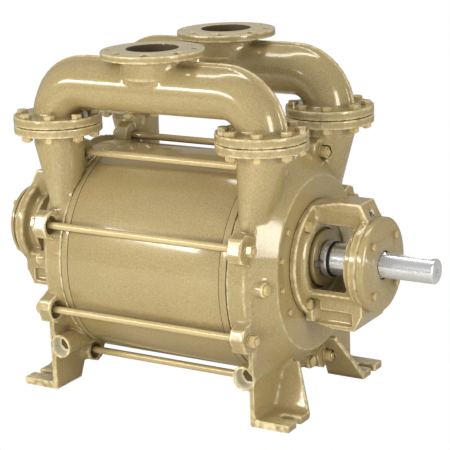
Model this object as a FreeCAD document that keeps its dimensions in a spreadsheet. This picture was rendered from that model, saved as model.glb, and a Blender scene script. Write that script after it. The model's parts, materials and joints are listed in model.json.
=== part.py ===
import FreeCAD, Part
import math
import os
import re
import Sketcher

# Liquid ring vacuum pump, bare shaft, two stacked manifolds over a tie-rod barrel.
# Frame: X runs along the shaft towards its driven end, Z is up, the front side faces -Y,
# and the origin lies on the floor under the shaft, midway between the two end covers.

SIZES = {
    # barrel and its axis
    "casing_length": 436,
    "casing_radius": 267,
    "casing_wall": 14,
    "casing_height": 330,
    "shaft_height": 360,
    "gasket": 1,
    # port plates
    "port_plate": 18,
    "port_inner": 92,
    "suction_outer": 118,
    "suction_angle": 100,
    "discharge_outer": 116,
    "discharge_angle": 44,
    "suction_start": -150,
    "discharge_start": 70,
    "valve_circle": 142,
    "valve_hole": 8,
    "valve_holes": 5,
    "valve_start": 28,
    "valve_step": 9,
    "valve_margin": 12,
    "valve_sheet": 2,
    "valve_sheet_half": 13,
    "valve_stop": 5,
    "valve_stop_half": 9,
    # impeller
    "impeller_radius": 220,
    "impeller_gap": 0.5,
    "hub_radius": 78,
    "hub_fillet": 12,
    "vane_root": 6,
    "vane_bow": 0.22,
    "blade_count": 16,
    "blade_thickness": 7,
    "blade_lean": 46,
    "centre_web": 10,
    "impeller_key_width": 25,
    "impeller_key_depth": 9,
    "impeller_key_height": 14,
    "impeller_key_length": 300,
    "key_gap": 0.1,
    # end covers
    "rim_width": 59,
    "drum_width": 43,
    "drum_base": 250,
    "drum_face": 200,
    "rim_bevel": 11,
    "head_wall": 12,
    "split_wall": 16,
    "shaft_tunnel": 78,
    "seal_boss": 10,
    "seal_boss_radius": 74,
    "seal_chamber": 52,
    "neck_gap": 3,
    "neck_width": 12,
    # tie rods and the lugs that they pass through
    "rod_count": 8,
    "rod_circle": 286,
    "rod_radius": 9,
    "rod_gap": 1,
    "rod_end": 4,
    "lug_length": 37,
    "lug_width": 70,
    "lug_reach": 314,
    "lug_corner": 16,
    "lug_cup": 23,
    "lug_floor": 12,
    "rod_washer": 3,
    "rod_washer_radius": 17,
    "rod_nut": 16,
    "rod_nut_flats": 27,
    "spot_gap": 0.6,
    # risers and manifolds
    "port_spacing": 584,
    "side_spacing": 340,
    "joint_height": 680,
    "outlet_height": 880,
    "pipe_height": 782,
    "pipe_radius": 61,
    "pipe_bore": 50,
    "bend_radius": 92,
    "riser_foot": 445,
    "riser_foot_reach": 29.5,
    "riser_foot_width": 60,
    "riser_wall": 20,
    "riser_waist": 8,
    "joint_gasket": 2,
    "flange_radius": 110,
    "flange_thickness": 21,
    "flange_circle": 180,
    "flange_bolts": 8,
    "flange_hole": 9,
    "outlet_radius": 125,
    "outlet_thickness": 17,
    "outlet_circle": 210,
    "outlet_bolts": 8,
    "outlet_hole": 9,
    "outlet_bore": 62.5,
    "outlet_bore_depth": 84,
    "raised_face": 3,
    "raised_radius": 94,
    "neck_root": 50,
    "neck_rise": 30,
    "neck_radius": 75,
    "neck_edge": 6,
    "fin_thickness": 10,
    "fin_height": 9,
    "fin_root": 5,
    "bolt_radius": 8,
    "bolt_flats": 24,
    "bolt_head": 10,
    "bolt_nut": 13,
    "bolt_end": 3,
    "thread_gap": 0.05,
    # feet
    "foot_web": 13,
    "web_bend": 86,
    "web_rise": 140,
    "web_inner": 60,
    "web_top": 150,
    "web_outer_drop": 70,
    "foot_end": 388,
    "foot_side": 252,
    "foot_width": 104,
    "foot_plate": 18,
    "foot_slot": 11,
    "foot_slot_length": 40,
    "gusset": 12,
    "gusset_lean": 25,
    "gusset_foot": 160,
    "gusset_top": 136,
    "port_boss_radius": 30.5,
    "port_boss_height": 117,
    "port_boss_axis": 269,
    "port_boss_length": 150,
    "port_bore": 24,
    "port_depth": 34,
    # bearing bracket
    "bracket_flange": 16,
    "bracket_flange_radius": 144,
    "bracket_length": 160,
    "lantern_radius": 110,
    "lantern_wall": 16,
    "lantern_flare": 8,
    "window_start": 25,
    "window_end": 135,
    "window_top": 106,
    "window_bottom": 216,
    "housing_radius": 114,
    "housing_length": 48,
    "barrel_radius": 86,
    "arm_reach": 151,
    "arm_root": 30,
    "arm_slope": 62,
    "arm_setback": 25,
    "upper_arm_width": 76,
    "lower_arm_width": 156,
    "arm_panel": 12,
    "arm_panel_height": 34,
    "bracket_bolt_circle": 125,
    "bracket_bolt_angle": 50,
    "bracket_bolt_depth": 22,
    # shaft and rotating seal parts
    "shaft_core": 45,
    "shaft_seat": 35,
    "shaft_end": 30,
    "shaft_end_length": 140,
    "shaft_end_chamfer": 2.5,
    "seal_seat": 32,
    "end_setback": 3,
    "key_width": 18,
    "key_depth": 7,
    "keyway_length": 125,
    "centre_hole": 8,
    "sleeve_wall": 4.5,
    "collar_wall": 4.5,
    "collar_length": 16,
    "seal_head_wall": 9,
    "seal_head_length": 34,
    "seal_ring_length": 14,
    "seal_face_depth": 2,
    "gland_thickness": 16,
    "gland_radius": 70,
    "gland_stud_circle": 122,
    "stud_radius": 5,
    "stud_depth": 20,
    "stud_nut": 8,
    "stud_nut_flats": 16,
    "stud_end": 3,
    "seal_ring_wall": 9,
    "face_film": 0.02,
    "vring_width": 6,
    "vring_wall": 4,
    "vring_gap": 0.3,
    "gland_bore": 2.5,
    "collar_gap": 3,
    "housing_bore": 42,
    "grease_space": 62,
    "grease_width": 6,
    # rolling bearings
    "bearing_outer": 75,
    "bearing_width": 32,
    "race_inner_top": 46.5,
    "race_outer_low": 63,
    "ball_radius": 12.4,
    "ball_circle": 55,
    "ball_count": 8,
    "ball_gap": 0.3,
    "cage_wall": 3,
    "cage_width": 30,
    "shaft_fit": 0.02,
    "cover_spigot": 6,
    "cover_thickness": 18,
    "cast_edge": 4,
    "cover_radius": 115,
    "cover_screw_circle": 172,
    "cover_screw_radius": 5,
    "cover_screw_depth": 18,
    "cover_screw_flats": 16,
    "cover_screw_head": 7,
    "rear_cover_radius": 96,
    "rear_cover_depth": 28,
    "rear_cover_wall": 12,
    "rear_cover_flange": 8,
    "rear_cover_waist": 3.5,
    "rear_cover_rim": 10,
    "locknut_width": 11,
    "locknut_radius": 46,
    "lock_washer": 1.5,
    "lip_seal_width": 6,
    "lip_seal_radius": 42,
    "lip_seal_setback": 3,
    "nipple_radius": 4,
    "nipple_height": 14,
    # screws that hold the port plates from outside
    "inner_screw_side": 180,
    "inner_screw_rise": 36,
    "outer_screw_side": 149,
    "outer_screw_rise": 98,
    "plate_screw_radius": 4,
    "plate_screw_flats": 13,
    "plate_screw_head": 6,
    "plate_screw_depth": 12,
    # pipe plugs
    "plug_side": 232,
    "plug_height": 338,
    "drain_side": 8,
    "drain_height": 83,
    "plug_boss": 29,
    "drain_boss": 16,
    "plug_boss_radius": 18,
    "plug_radius": 10,
    "plug_depth": 12,
    "plug_head": 8,
    "plug_head_radius": 14,
}

doc = FreeCAD.newDocument("liquid_ring_pump")
sheet = doc.addObject("Spreadsheet::Sheet", "dims")
for row, (size_name, size) in enumerate(SIZES.items(), start=1):
    sheet.set("A%d" % row, size_name)
    sheet.set("B%d" % row, str(size))
    sheet.setAlias("B%d" % row, size_name)
doc.recompute()

V = FreeCAD.Vector
PARTS = []


def formula(text):
    """A formula in which every size name points at its cell."""
    return re.sub(r"[a-z][a-z0-9_]*", lambda word: cell(word.group()), str(text))


def cell(word):
    return "dims." + word if word in SIZES else word


def value(text):
    return float(sheet.evalExpression(formula(text)))


def bind(thing, **formulas):
    for name, text in formulas.items():
        thing.setExpression(name.replace("__", "."), formula(text))
    return thing


def minus(text):
    return "0 - (%s)" % text


# Places along the shaft, measured from the middle of the barrel.
HALF = "casing_length / 2"
PLATE_IN = "(%s + gasket)" % HALF
PLATE_OUT = "(%s + port_plate)" % PLATE_IN
HEAD_IN = "(%s + gasket)" % PLATE_OUT
RIM_OUT = "(%s + rim_width)" % HEAD_IN
FACE = "(%s + drum_width)" % RIM_OUT
BOSS_END = "(%s + seal_boss)" % FACE
GLAND_END = "(%s + gland_thickness)" % BOSS_END
HOUSING_END = "(%s + bracket_length)" % FACE
HOUSING_IN = "(%s - housing_length)" % HOUSING_END
BEARING_OUT = "(%s - cover_spigot)" % HOUSING_END
BEARING_IN = "(%s - bearing_width)" % BEARING_OUT
NUT_END = "(%s + lock_washer + locknut_width)" % BEARING_OUT
PORT_X = "(port_spacing / 2)"
SIDE_Y = "(side_spacing / 2)"
MANIFOLD_LOW = "(joint_height + joint_gasket / 2)"
RISER_TOP = "(joint_height - joint_gasket / 2)"
SLEEVE_RADIUS = "(shaft_seat + sleeve_wall)"
SHOULDER = "(%s + neck_width)" % HEAD_IN
WEB_START = "(%s - foot_web)" % RIM_OUT
SEAL_FACE = "(%s - seal_face_depth)" % BOSS_END
COLLAR_IN = "(%s + collar_gap)" % GLAND_END
COLLAR_OUT = "(%s + collar_length)" % COLLAR_IN
SHAFT_END_IN = "(%s + cover_thickness - end_setback)" % HOUSING_END
SHAFT_TIP = "(%s + shaft_end_length)" % SHAFT_END_IN


# Sketch helpers

def new_body(name):
    body = doc.addObject("PartDesign::Body", name)
    body.Label = name
    return body


def origin_part(body, role):
    return [part for part in body.Origin.OriginFeatures if part.Role == role][0]


def new_sketch(body, role, at=("0", "0", "0"), turn=0, tilt=0):
    """A sketch on one of the body's own planes, moved to `at` in the plane's axes."""
    sketch = body.newObject("Sketcher::SketchObject", body.Name + "_sketch")
    sketch.AttachmentSupport = [(origin_part(body, role), "")]
    sketch.MapMode = "FlatFace"
    rotation = FreeCAD.Rotation(V(1, 0, 0), tilt).multiply(FreeCAD.Rotation(V(0, 0, 1), turn))
    sketch.AttachmentOffset = FreeCAD.Placement(V(*[value(item) for item in at]), rotation)
    for axis, text in zip("xyz", at):
        if str(text) != "0":
            sketch.setExpression("AttachmentOffset.Base." + axis, formula(text))
    return sketch


def pin_point(sketch, edge, end, place):
    """Hold one end of an edge at a pair of formulas."""
    for kind, text in zip(("DistanceX", "DistanceY"), place):
        number = sketch.addConstraint(Sketcher.Constraint(kind, -1, 1, edge, end, value(text)))
        sketch.setExpression("Constraints[%d]" % number, formula(text))


def add_outline(sketch, points):
    """A closed outline of straight lines through pairs of formulas."""
    flat = [V(value(a), value(b), 0) for a, b in points]
    first = sketch.GeometryCount
    for start, end in zip(flat, flat[1:] + flat[:1]):
        sketch.addGeometry(Part.LineSegment(start, end), False)
    count = len(points)
    for number in range(count):
        after = first + (number + 1) % count
        sketch.addConstraint(Sketcher.Constraint("Coincident", first + number, 2, after, 1))
        pin_point(sketch, first + number, 1, points[number])
    return sketch


def add_circle(sketch, radius, centre=("0", "0")):
    middle = V(value(centre[0]), value(centre[1]), 0)
    edge = sketch.addGeometry(Part.Circle(middle, V(0, 0, 1), value(radius)), False)
    if centre == ("0", "0"):
        sketch.addConstraint(Sketcher.Constraint("Coincident", edge, 3, -1, 1))
    else:
        pin_point(sketch, edge, 3, centre)
    number = sketch.addConstraint(Sketcher.Constraint("Radius", edge, value(radius)))
    sketch.setExpression("Constraints[%d]" % number, formula(radius))
    return sketch


def add_oval(sketch, radius, low, high):
    """An upright outline of two half circles, centred at heights `low` and `high`."""
    r, a, b = value(radius), value(low), value(high)
    top = sketch.addGeometry(Part.Arc(V(r, b, 0), V(0, b + r, 0), V(-r, b, 0)), False)
    left = sketch.addGeometry(Part.LineSegment(V(-r, b, 0), V(-r, a, 0)), False)
    foot = sketch.addGeometry(Part.Arc(V(-r, a, 0), V(0, a - r, 0), V(r, a, 0)), False)
    right = sketch.addGeometry(Part.LineSegment(V(r, a, 0), V(r, b, 0)), False)
    for one, two in ((top, left), (left, foot), (foot, right), (right, top)):
        sketch.addConstraint(Sketcher.Constraint("Coincident", one, 2, two, 1))
    pin_point(sketch, left, 1, (minus(radius), high))
    pin_point(sketch, left, 2, (minus(radius), low))
    pin_point(sketch, right, 1, (radius, low))
    pin_point(sketch, right, 2, (radius, high))
    for arc, height in ((top, high), (foot, low)):
        number = sketch.addConstraint(Sketcher.Constraint("DistanceY", -1, 1, arc, 3, value(height)))
        sketch.setExpression("Constraints[%d]" % number, formula(height))
    return sketch


def add_route(sketch, points, radius):
    """An open route through pairs of formulas, each corner rounded by one radius."""
    corners = [V(value(a), value(b), 0) for a, b in points]
    r = value(radius)
    ends = []
    for before, corner, after in zip(corners, corners[1:], corners[2:]):
        back = (before - corner).normalize()
        on = (after - corner).normalize()
        ends.append((corner + back * r, corner + on * r, corner + (back + on) * (r - r / math.sqrt(2))))
    stops = [corners[0]]
    for into, out, middle in ends:
        stops += [into, out]
    stops.append(corners[-1])
    edges = []
    for number in range(0, len(stops), 2):
        edges.append(sketch.addGeometry(Part.LineSegment(stops[number], stops[number + 1]), False))
        if number // 2 < len(ends):
            into, out, middle = ends[number // 2]
            edges.append(sketch.addGeometry(Part.Arc(into, middle, out), False))
    return edges


# Feature helpers

def pad(body, sketch, length, both=False, back=False):
    feature = body.newObject("PartDesign::Pad", body.Name + "_pad")
    feature.Profile = sketch
    bind(feature, Length=length)
    feature.Midplane = both
    feature.Reversed = back
    sketch.Visibility = False
    return feature


def pocket(body, sketch, length, both=False, back=False):
    before = body.Shape.Volume
    feature = body.newObject("PartDesign::Pocket", body.Name + "_pocket")
    feature.Profile = sketch
    bind(feature, Length=length)
    feature.Midplane = both
    feature.Reversed = back
    doc.recompute()
    assert body.Shape.Volume < before, "pocket cuts nothing in " + body.Label
    return feature


def spin(body, points, axis="H_Axis", at=("0", "0", "0")):
    """A turned piece: an outline of (place along X, radius) pairs, spun about the X axis."""
    sketch = add_outline(new_sketch(body, "XZ_Plane", at), points)
    feature = body.newObject("PartDesign::Revolution", body.Name + "_turned")
    feature.Profile = sketch
    feature.ReferenceAxis = (sketch, [axis])
    feature.Angle = 360
    return feature


def pattern(body, feature, sketch, count):
    """Copies of a feature round the normal axis of its own sketch."""
    doc.recompute()
    copies = body.newObject("PartDesign::PolarPattern", body.Name + "_pattern")
    copies.Originals = [feature]
    copies.Axis = (sketch, ["N_Axis"])
    copies.Angle = 360
    bind(copies, Occurrences=count)
    body.Tip = copies
    return copies


def ring_pattern(body, feature, count):
    """Copies of a feature round the body's own X axis."""
    doc.recompute()
    copies = body.newObject("PartDesign::PolarPattern", body.Name + "_pattern")
    copies.Originals = [feature]
    copies.Axis = (origin_part(body, "X_Axis"), [""])
    copies.Angle = 360
    bind(copies, Occurrences=count)
    body.Tip = copies
    return copies


def cylinder(name, radius, length, x="0", y="0", z="0", along="z", angle=360, start=0):
    """A round bar that starts at (x, y, z) and runs along one axis."""
    bar = doc.addObject("Part::Cylinder", name)
    turn = {
        "z": FreeCAD.Rotation(),
        "x": FreeCAD.Rotation(V(1, 0, 0), start).multiply(FreeCAD.Rotation(V(0, 1, 0), 90)),
        "y": FreeCAD.Rotation(V(1, 0, 0), -90),
    }[along]
    bar.Placement = FreeCAD.Placement(V(0, 0, 0), turn)
    bar.Angle = angle
    bind(bar, Radius=radius, Height=length)
    return put(bar, x, y, z)


def on_shaft(name, radius, length, start):
    """A round bar on the shaft axis."""
    return cylinder(name, radius, length, start, "0", "shaft_height", "x")


def block(name, length, width, height, x="0", y="0", z="0"):
    solid = doc.addObject("Part::Box", name)
    bind(solid, Length=length, Width=width, Height=height)
    return put(solid, x, y, z)


def put(thing, x="0", y="0", z="0"):
    for axis, text in zip("xyz", (x, y, z)):
        if str(text) != "0":
            thing.setExpression("Placement.Base." + axis, formula(text))
    return thing


def join(name, *solids):
    whole = doc.addObject("Part::MultiFuse", name)
    whole.Shapes = list(solids)
    return whole


def cut(name, base, tool):
    rest = doc.addObject("Part::Cut", name)
    rest.Base = base
    rest.Tool = tool
    return rest


def group(name, *members):
    whole = doc.addObject("Part::Compound", name)
    whole.Links = list(members)
    return whole


def mirror(name, source, normal=(1, 0, 0)):
    twin = doc.addObject("Part::Mirroring", name)
    twin.Source = source
    twin.Normal = V(*normal)
    return twin


def both_ends(name, source):
    return group(name, source, mirror(name + "_rear", source))


def both_sides(name, source):
    return group(name, source, mirror(name + "_back", source, (0, 1, 0)))


def loft(name, *sections):
    solid = doc.addObject("Part::Loft", name)
    solid.Sections = list(sections)
    solid.Solid = True
    return solid


def finish(label, thing):
    """Name a sub-part: its label is its file name."""
    thing.Label = label
    PARTS.append(thing)
    return thing


# Barrel, gaskets and port plates

def make_casing():
    body = new_body("casing_body")
    inner = "casing_radius - casing_wall"
    spin(body, [(minus(HALF), inner), (HALF, inner), (HALF, "casing_radius"), (minus(HALF), "casing_radius")])
    finish("casing", put(body, z="casing_height"))


def make_casing_gaskets():
    inner = "casing_radius - casing_wall"
    rings = []
    for number, start in enumerate((HALF, PLATE_OUT)):
        body = new_body("gasket_ring_%d" % number)
        end = "%s + gasket" % start
        spin(body, [(start, inner), (end, inner), (end, "casing_radius"), (start, "casing_radius")])
        rings.append(put(body, z="casing_height"))
    finish("casing_gaskets", both_ends("casing_gaskets_all", group("casing_gaskets_drive", *rings)))


def port_sector(name, outer, angle, start):
    """A ring sector through the port plate, measured from the shaft axis."""
    span = "port_plate + 4"
    begin = "%s - 2" % PLATE_IN
    whole = cylinder(name + "_outer", outer, span, begin, "0", "shaft_height", "x", value(angle), value(start))
    bind(whole, Angle=angle)
    core = cylinder(name + "_core", "port_inner", span, begin, "0", "shaft_height", "x")
    return cut(name, whole, core)


def valve_place(number):
    """Side and height of one valve hole on its circle round the shaft axis."""
    angle = "(valve_start + valve_step * %d)" % number
    side = "valve_circle * cos(%s)" % angle
    up = "shaft_height + valve_circle * sin(%s)" % angle
    return side, up


def make_port_plates():
    plate = cylinder("plate_disc", "casing_radius", "port_plate", PLATE_IN, "0", "casing_height", "x")
    start = "%s - 2" % PLATE_IN
    length = "port_plate + 4"
    tools = [
        cylinder("plate_bore", "shaft_core + neck_gap", length, start, "0", "shaft_height", "x"),
        port_sector("suction_port", "suction_outer", "suction_angle", "suction_start"),
        port_sector("discharge_port", "discharge_outer", "discharge_angle", "discharge_start"),
    ]
    for number in range(SIZES["valve_holes"]):
        side, up = valve_place(number)
        tools.append(cylinder("valve_port_%d" % number, "valve_hole", length, start, side, up, "x"))
    for number, (across, up) in enumerate(plate_screw_places()):
        tools.append(cylinder("plate_tap_%d" % number, "plate_screw_radius + thread_gap",
                              "plate_screw_depth + 1", "%s - plate_screw_depth" % PLATE_OUT, across, up, "x"))
    drive = cut("drive_plate", plate, join("plate_cuts", *tools))
    finish("drive_port_plate", drive)
    finish("rear_port_plate", mirror("rear_plate", drive))


def valve_strip(name, start, thick, half):
    """A curved strip over the valve holes, on their circle."""
    span = "valve_step * (valve_holes - 1) + 2 * valve_margin"
    begin = value("valve_start - valve_margin + 90")
    outer = cylinder(name + "_outer", "valve_circle + " + half, thick, start, "0", "shaft_height", "x",
                     value(span), begin)
    bind(outer, Angle=span)
    core = cylinder(name + "_core", "valve_circle - " + half, thick, start, "0", "shaft_height", "x")
    return cut(name, outer, core)


def make_valves():
    """A thin sheet that covers the valve holes, with a stop bar over it."""
    sheet_strip = valve_strip("valve_sheet_drive", PLATE_OUT, "valve_sheet", "valve_sheet_half")
    stop = valve_strip("valve_stop_drive", "%s + valve_sheet" % PLATE_OUT, "valve_stop", "valve_stop_half")
    finish("valve_sheets", both_ends("valve_sheets_all", sheet_strip))
    finish("valve_stops", both_ends("valve_stops_all", stop))


# Impeller: a hub, a centre web and curved vanes, all one casting

def make_impeller():
    body = new_body("impeller_body")
    reach = "(%s + gasket - impeller_gap)" % HALF
    bore = "shaft_core + shaft_fit"
    hub_end = [("hub_radius", "centre_web"), ("hub_radius + hub_fillet", "centre_web / 2"),
               ("impeller_radius", "centre_web / 2")]
    drive_side = [(place, radius) for radius, place in hub_end]
    rear_side = [(minus(place), radius) for radius, place in reversed(hub_end)]
    spin(body, [(minus(reach), bore), (reach, bore), (reach, "hub_radius")] + drive_side + rear_side
         + [(minus(reach), "hub_radius")])
    sketch = add_vane(new_sketch(body, "YZ_Plane"))
    vane = pad(body, sketch, "2 * %s" % reach, both=True)
    ring_pattern(body, vane, "blade_count")
    doc.recompute()
    half = "impeller_key_width / 2"
    keyway = new_sketch(body, "XY_Plane", ("0", "0", "shaft_core - 2"))
    flat = [(minus(reach + " + 1"), minus(half)), (reach + " + 1", minus(half)), (reach + " + 1", half),
            (minus(reach + " + 1"), half)]
    pocket(body, add_outline(keyway, flat), "impeller_key_height - impeller_key_depth + 2 + key_gap", back=True)
    finish("impeller", put(body, z="shaft_height"))


def add_vane(sketch):
    """One vane: it leaves the hub square to it and curves forward towards the tip."""
    root = "(hub_radius - vane_root)"
    half = "blade_thickness / 2"
    rise = "impeller_radius * sin(blade_lean) / 2"
    far_rise = "(%s + blade_thickness)" % rise
    corners = {
        "root_low": (root, minus(half)),
        "tip_low": ("sqrt(impeller_radius ^ 2 - (%s) ^ 2)" % rise, rise),
        "tip_high": ("sqrt(impeller_radius ^ 2 - %s ^ 2)" % far_rise, far_rise),
        "root_high": (root, half),
    }
    spot = {name: V(value(a), value(b), 0) for name, (a, b) in corners.items()}
    bow = value("vane_bow * " + rise)
    low_middle = (spot["root_low"] + spot["tip_low"]) / 2
    high_middle = (spot["root_high"] + spot["tip_high"]) / 2
    low_middle.y = bow
    high_middle.y = bow + value("blade_thickness")
    low = sketch.addGeometry(Part.Arc(spot["root_low"], low_middle, spot["tip_low"]), False)
    tip = sketch.addGeometry(Part.LineSegment(spot["tip_low"], spot["tip_high"]), False)
    high = sketch.addGeometry(Part.Arc(spot["root_high"], high_middle, spot["tip_high"]), False)
    foot = sketch.addGeometry(Part.LineSegment(spot["root_high"], spot["root_low"]), False)
    pin_point(sketch, tip, 1, corners["tip_low"])
    pin_point(sketch, tip, 2, corners["tip_high"])
    pin_point(sketch, foot, 1, corners["root_high"])
    pin_point(sketch, foot, 2, corners["root_low"])
    arc_end = {low: near_end(sketch, low, spot["tip_low"]), high: near_end(sketch, high, spot["tip_high"])}
    sketch.addConstraint(Sketcher.Constraint("Coincident", low, arc_end[low], tip, 1))
    sketch.addConstraint(Sketcher.Constraint("Coincident", high, arc_end[high], tip, 2))
    sketch.addConstraint(Sketcher.Constraint("Coincident", low, 3 - arc_end[low], foot, 2))
    sketch.addConstraint(Sketcher.Constraint("Coincident", high, 3 - arc_end[high], foot, 1))
    return sketch


def near_end(sketch, edge, spot):
    """Which end of an edge, 1 or 2, lies at a point."""
    return min((1, 2), key=lambda end: sketch.getPoint(edge, end).distanceToPoint(spot))


# End covers: rim, tapered drum, risers, lugs and feet in one casting, hollow inside

def make_end_covers():
    body = new_body("cover_solid")
    spin(body, [(HEAD_IN, "0"), (HEAD_IN, "casing_radius"), ("%s - rim_bevel" % RIM_OUT, "casing_radius"),
                (RIM_OUT, "casing_radius - rim_bevel"), (RIM_OUT, "0")], at=("0", "casing_height", "0"))
    doc.recompute()
    drum = body.newObject("PartDesign::AdditiveLoft", "drum")
    base = new_sketch(body, "YZ_Plane", ("0", "0", RIM_OUT))
    face = new_sketch(body, "YZ_Plane", ("0", "0", FACE))
    drum.Profile = add_oval(base, "drum_base", "casing_height", "shaft_height")
    drum.Sections = [add_oval(face, "drum_face", "casing_height", "shaft_height")]
    doc.recompute()
    boss = add_circle(new_sketch(body, "YZ_Plane", ("0", "shaft_height", FACE)), "seal_boss_radius")
    pad(body, boss, "seal_boss")
    doc.recompute()
    add_lugs(body)
    for side in (-1, 1):
        add_foot(body, side)
    add_bosses(body)
    solids = [body]
    for side in (-1, 1):
        solids += riser(side, "riser", "pipe_radius + 1", "riser_foot_reach", "riser_foot_width", "riser_foot")
        solids.append(cylinder("riser_flange_%d" % side, "flange_radius", "flange_thickness", PORT_X,
                               side_of(side), "%s - flange_thickness" % RISER_TOP))
    outside = join("cover_outside", *solids)
    cover = cut("drive_cover", outside, join("cover_hollows", *cover_hollows()))
    finish("drive_end_cover", cover)
    finish("rear_end_cover", mirror("rear_cover", cover))


def side_of(side, place=SIDE_Y):
    return place if side > 0 else minus(place)


def add_lugs(body):
    """Eight lugs on the rim, one for each tie rod."""
    half = "lug_width / 2"
    back = "(casing_radius - 30)"
    outline = [(back, minus(half)), ("lug_reach - lug_corner", minus(half)),
               ("lug_reach", "lug_corner - " + half), ("lug_reach", half + " - lug_corner"),
               ("lug_reach - lug_corner", half), (back, half)]
    start = "%s - lug_length" % RIM_OUT
    turn = 180 / SIZES["rod_count"]
    sketch = add_outline(new_sketch(body, "YZ_Plane", ("0", "casing_height", start), turn), outline)
    pattern(body, pad(body, sketch, "lug_length"), sketch, "rod_count")
    doc.recompute()


def rod_ring(name, radius, start, length):
    """One round tool at each tie rod."""
    body = new_body(name)
    sketch = new_sketch(body, "YZ_Plane", ("0", "0", start), 180 / SIZES["rod_count"])
    add_circle(sketch, radius, ("rod_circle", "0"))
    ring_pattern(body, pad(body, sketch, length), "rod_count")
    return put(body, z="casing_height")


def rod_cups():
    """Open cups round the rods on the barrel side, except where a riser stands over the rod."""
    step = 360 / SIZES["rod_count"]
    cups = []
    for number in range(SIZES["rod_count"]):
        angle = step * (number + 0.5)
        if math.sin(math.radians(angle)) < 0.9:
            cups.append(cylinder("rod_cup_%d" % number, "lug_cup", "lug_length - lug_floor + 2",
                                 "%s - lug_length - 2" % RIM_OUT, "rod_circle * cos(%g)" % angle,
                                 "casing_height + rod_circle * sin(%g)" % angle, "x"))
    return cups


def add_foot(body, side):
    """An upright web, a slotted foot plate and a gusset that leans in towards the drum."""
    outer = side_of(side, "foot_side")
    inner = side_of(side, "(foot_side - foot_width)")
    web = [(outer, "0"), (inner, "0"), (side_of(side, "web_bend"), "web_rise"),
           (side_of(side, "web_inner"), "casing_height - casing_radius + web_inner"),
           (side_of(side, "web_top"), "casing_height - web_inner"), (outer, "casing_height - web_outer_drop")]
    pad(body, add_outline(new_sketch(body, "YZ_Plane", ("0", "0", WEB_START)), web), "foot_web")
    doc.recompute()
    plate = [(WEB_START, outer), ("foot_end", outer), ("foot_end", inner), (WEB_START, inner)]
    pad(body, add_outline(new_sketch(body, "XY_Plane"), plate), "foot_plate")
    doc.recompute()
    slot_middle = side_of(side, "(foot_side - foot_width / 2)")
    edges = [("foot_end - foot_slot_length", "%s - foot_slot" % slot_middle),
             ("foot_end + 2", "%s - foot_slot" % slot_middle),
             ("foot_end + 2", "%s + foot_slot" % slot_middle),
             ("foot_end - foot_slot_length", "%s + foot_slot" % slot_middle)]
    pocket(body, add_outline(new_sketch(body, "XY_Plane"), edges), "foot_plate", back=True)
    round_end = new_sketch(body, "XY_Plane")
    add_circle(round_end, "foot_slot", ("foot_end - foot_slot_length", slot_middle))
    pocket(body, round_end, "foot_plate", back=True)
    outline = [(WEB_START, "0"), ("foot_end", "0"), ("foot_end", "foot_plate"),
               ("%s - 4" % FACE, "gusset_top"), (WEB_START, "gusset_top")]
    lean = SIZES["gusset_lean"] * side
    sketch = new_sketch(body, "XZ_Plane", ("0", "0", minus(side_of(side, "gusset_foot"))), tilt=lean)
    pad(body, add_outline(sketch, outline), "gusset", back=side < 0)
    doc.recompute()


def add_bosses(body):
    """Round bosses: the drain port that faces the front or back side, and the plug bosses."""
    for side in (-1, 1):
        start = add_circle(new_sketch(body, "XZ_Plane", ("0", "0", minus(side_of(side, "foot_side")))),
                           "port_boss_radius", ("port_boss_axis", "port_boss_height"))
        pad(body, start, "port_boss_length", back=side < 0)
        doc.recompute()
    for across, up, boss in PLUGS:
        sketch = add_circle(new_sketch(body, "YZ_Plane", ("0", "0", RIM_OUT)), "plug_boss_radius", (across, up))
        pad(body, sketch, boss)
        doc.recompute()


PLUGS = [("0 - plug_side", "plug_height", "plug_boss"), ("drain_side", "drain_height", "drain_boss")]


def riser(side, name, top_radius, reach, width, low, neck_radius=None):
    """A pipe that is round under its flange and narrows into the cover as it comes down."""
    top = doc.addObject("Part::Circle", name + "_top")
    bind(put(top, PORT_X, side_of(side), RISER_TOP), Radius=top_radius)
    neck = doc.addObject("Part::Circle", name + "_neck")
    bind(put(neck, PORT_X, side_of(side), "%s - 50" % RISER_TOP), Radius=neck_radius or top_radius)
    foot = doc.addObject("Part::Ellipse", name + "_foot")
    foot.Placement = FreeCAD.Placement(V(0, 0, 0), FreeCAD.Rotation(V(0, 0, 1), 90))
    put(foot, "%s + rim_width / 2" % HEAD_IN, side_of(side), low)
    bind(foot, MajorRadius=width, MinorRadius=reach)
    return [loft(name + "_upper", top, neck), loft(name + "_lower", neck, foot)]


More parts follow.
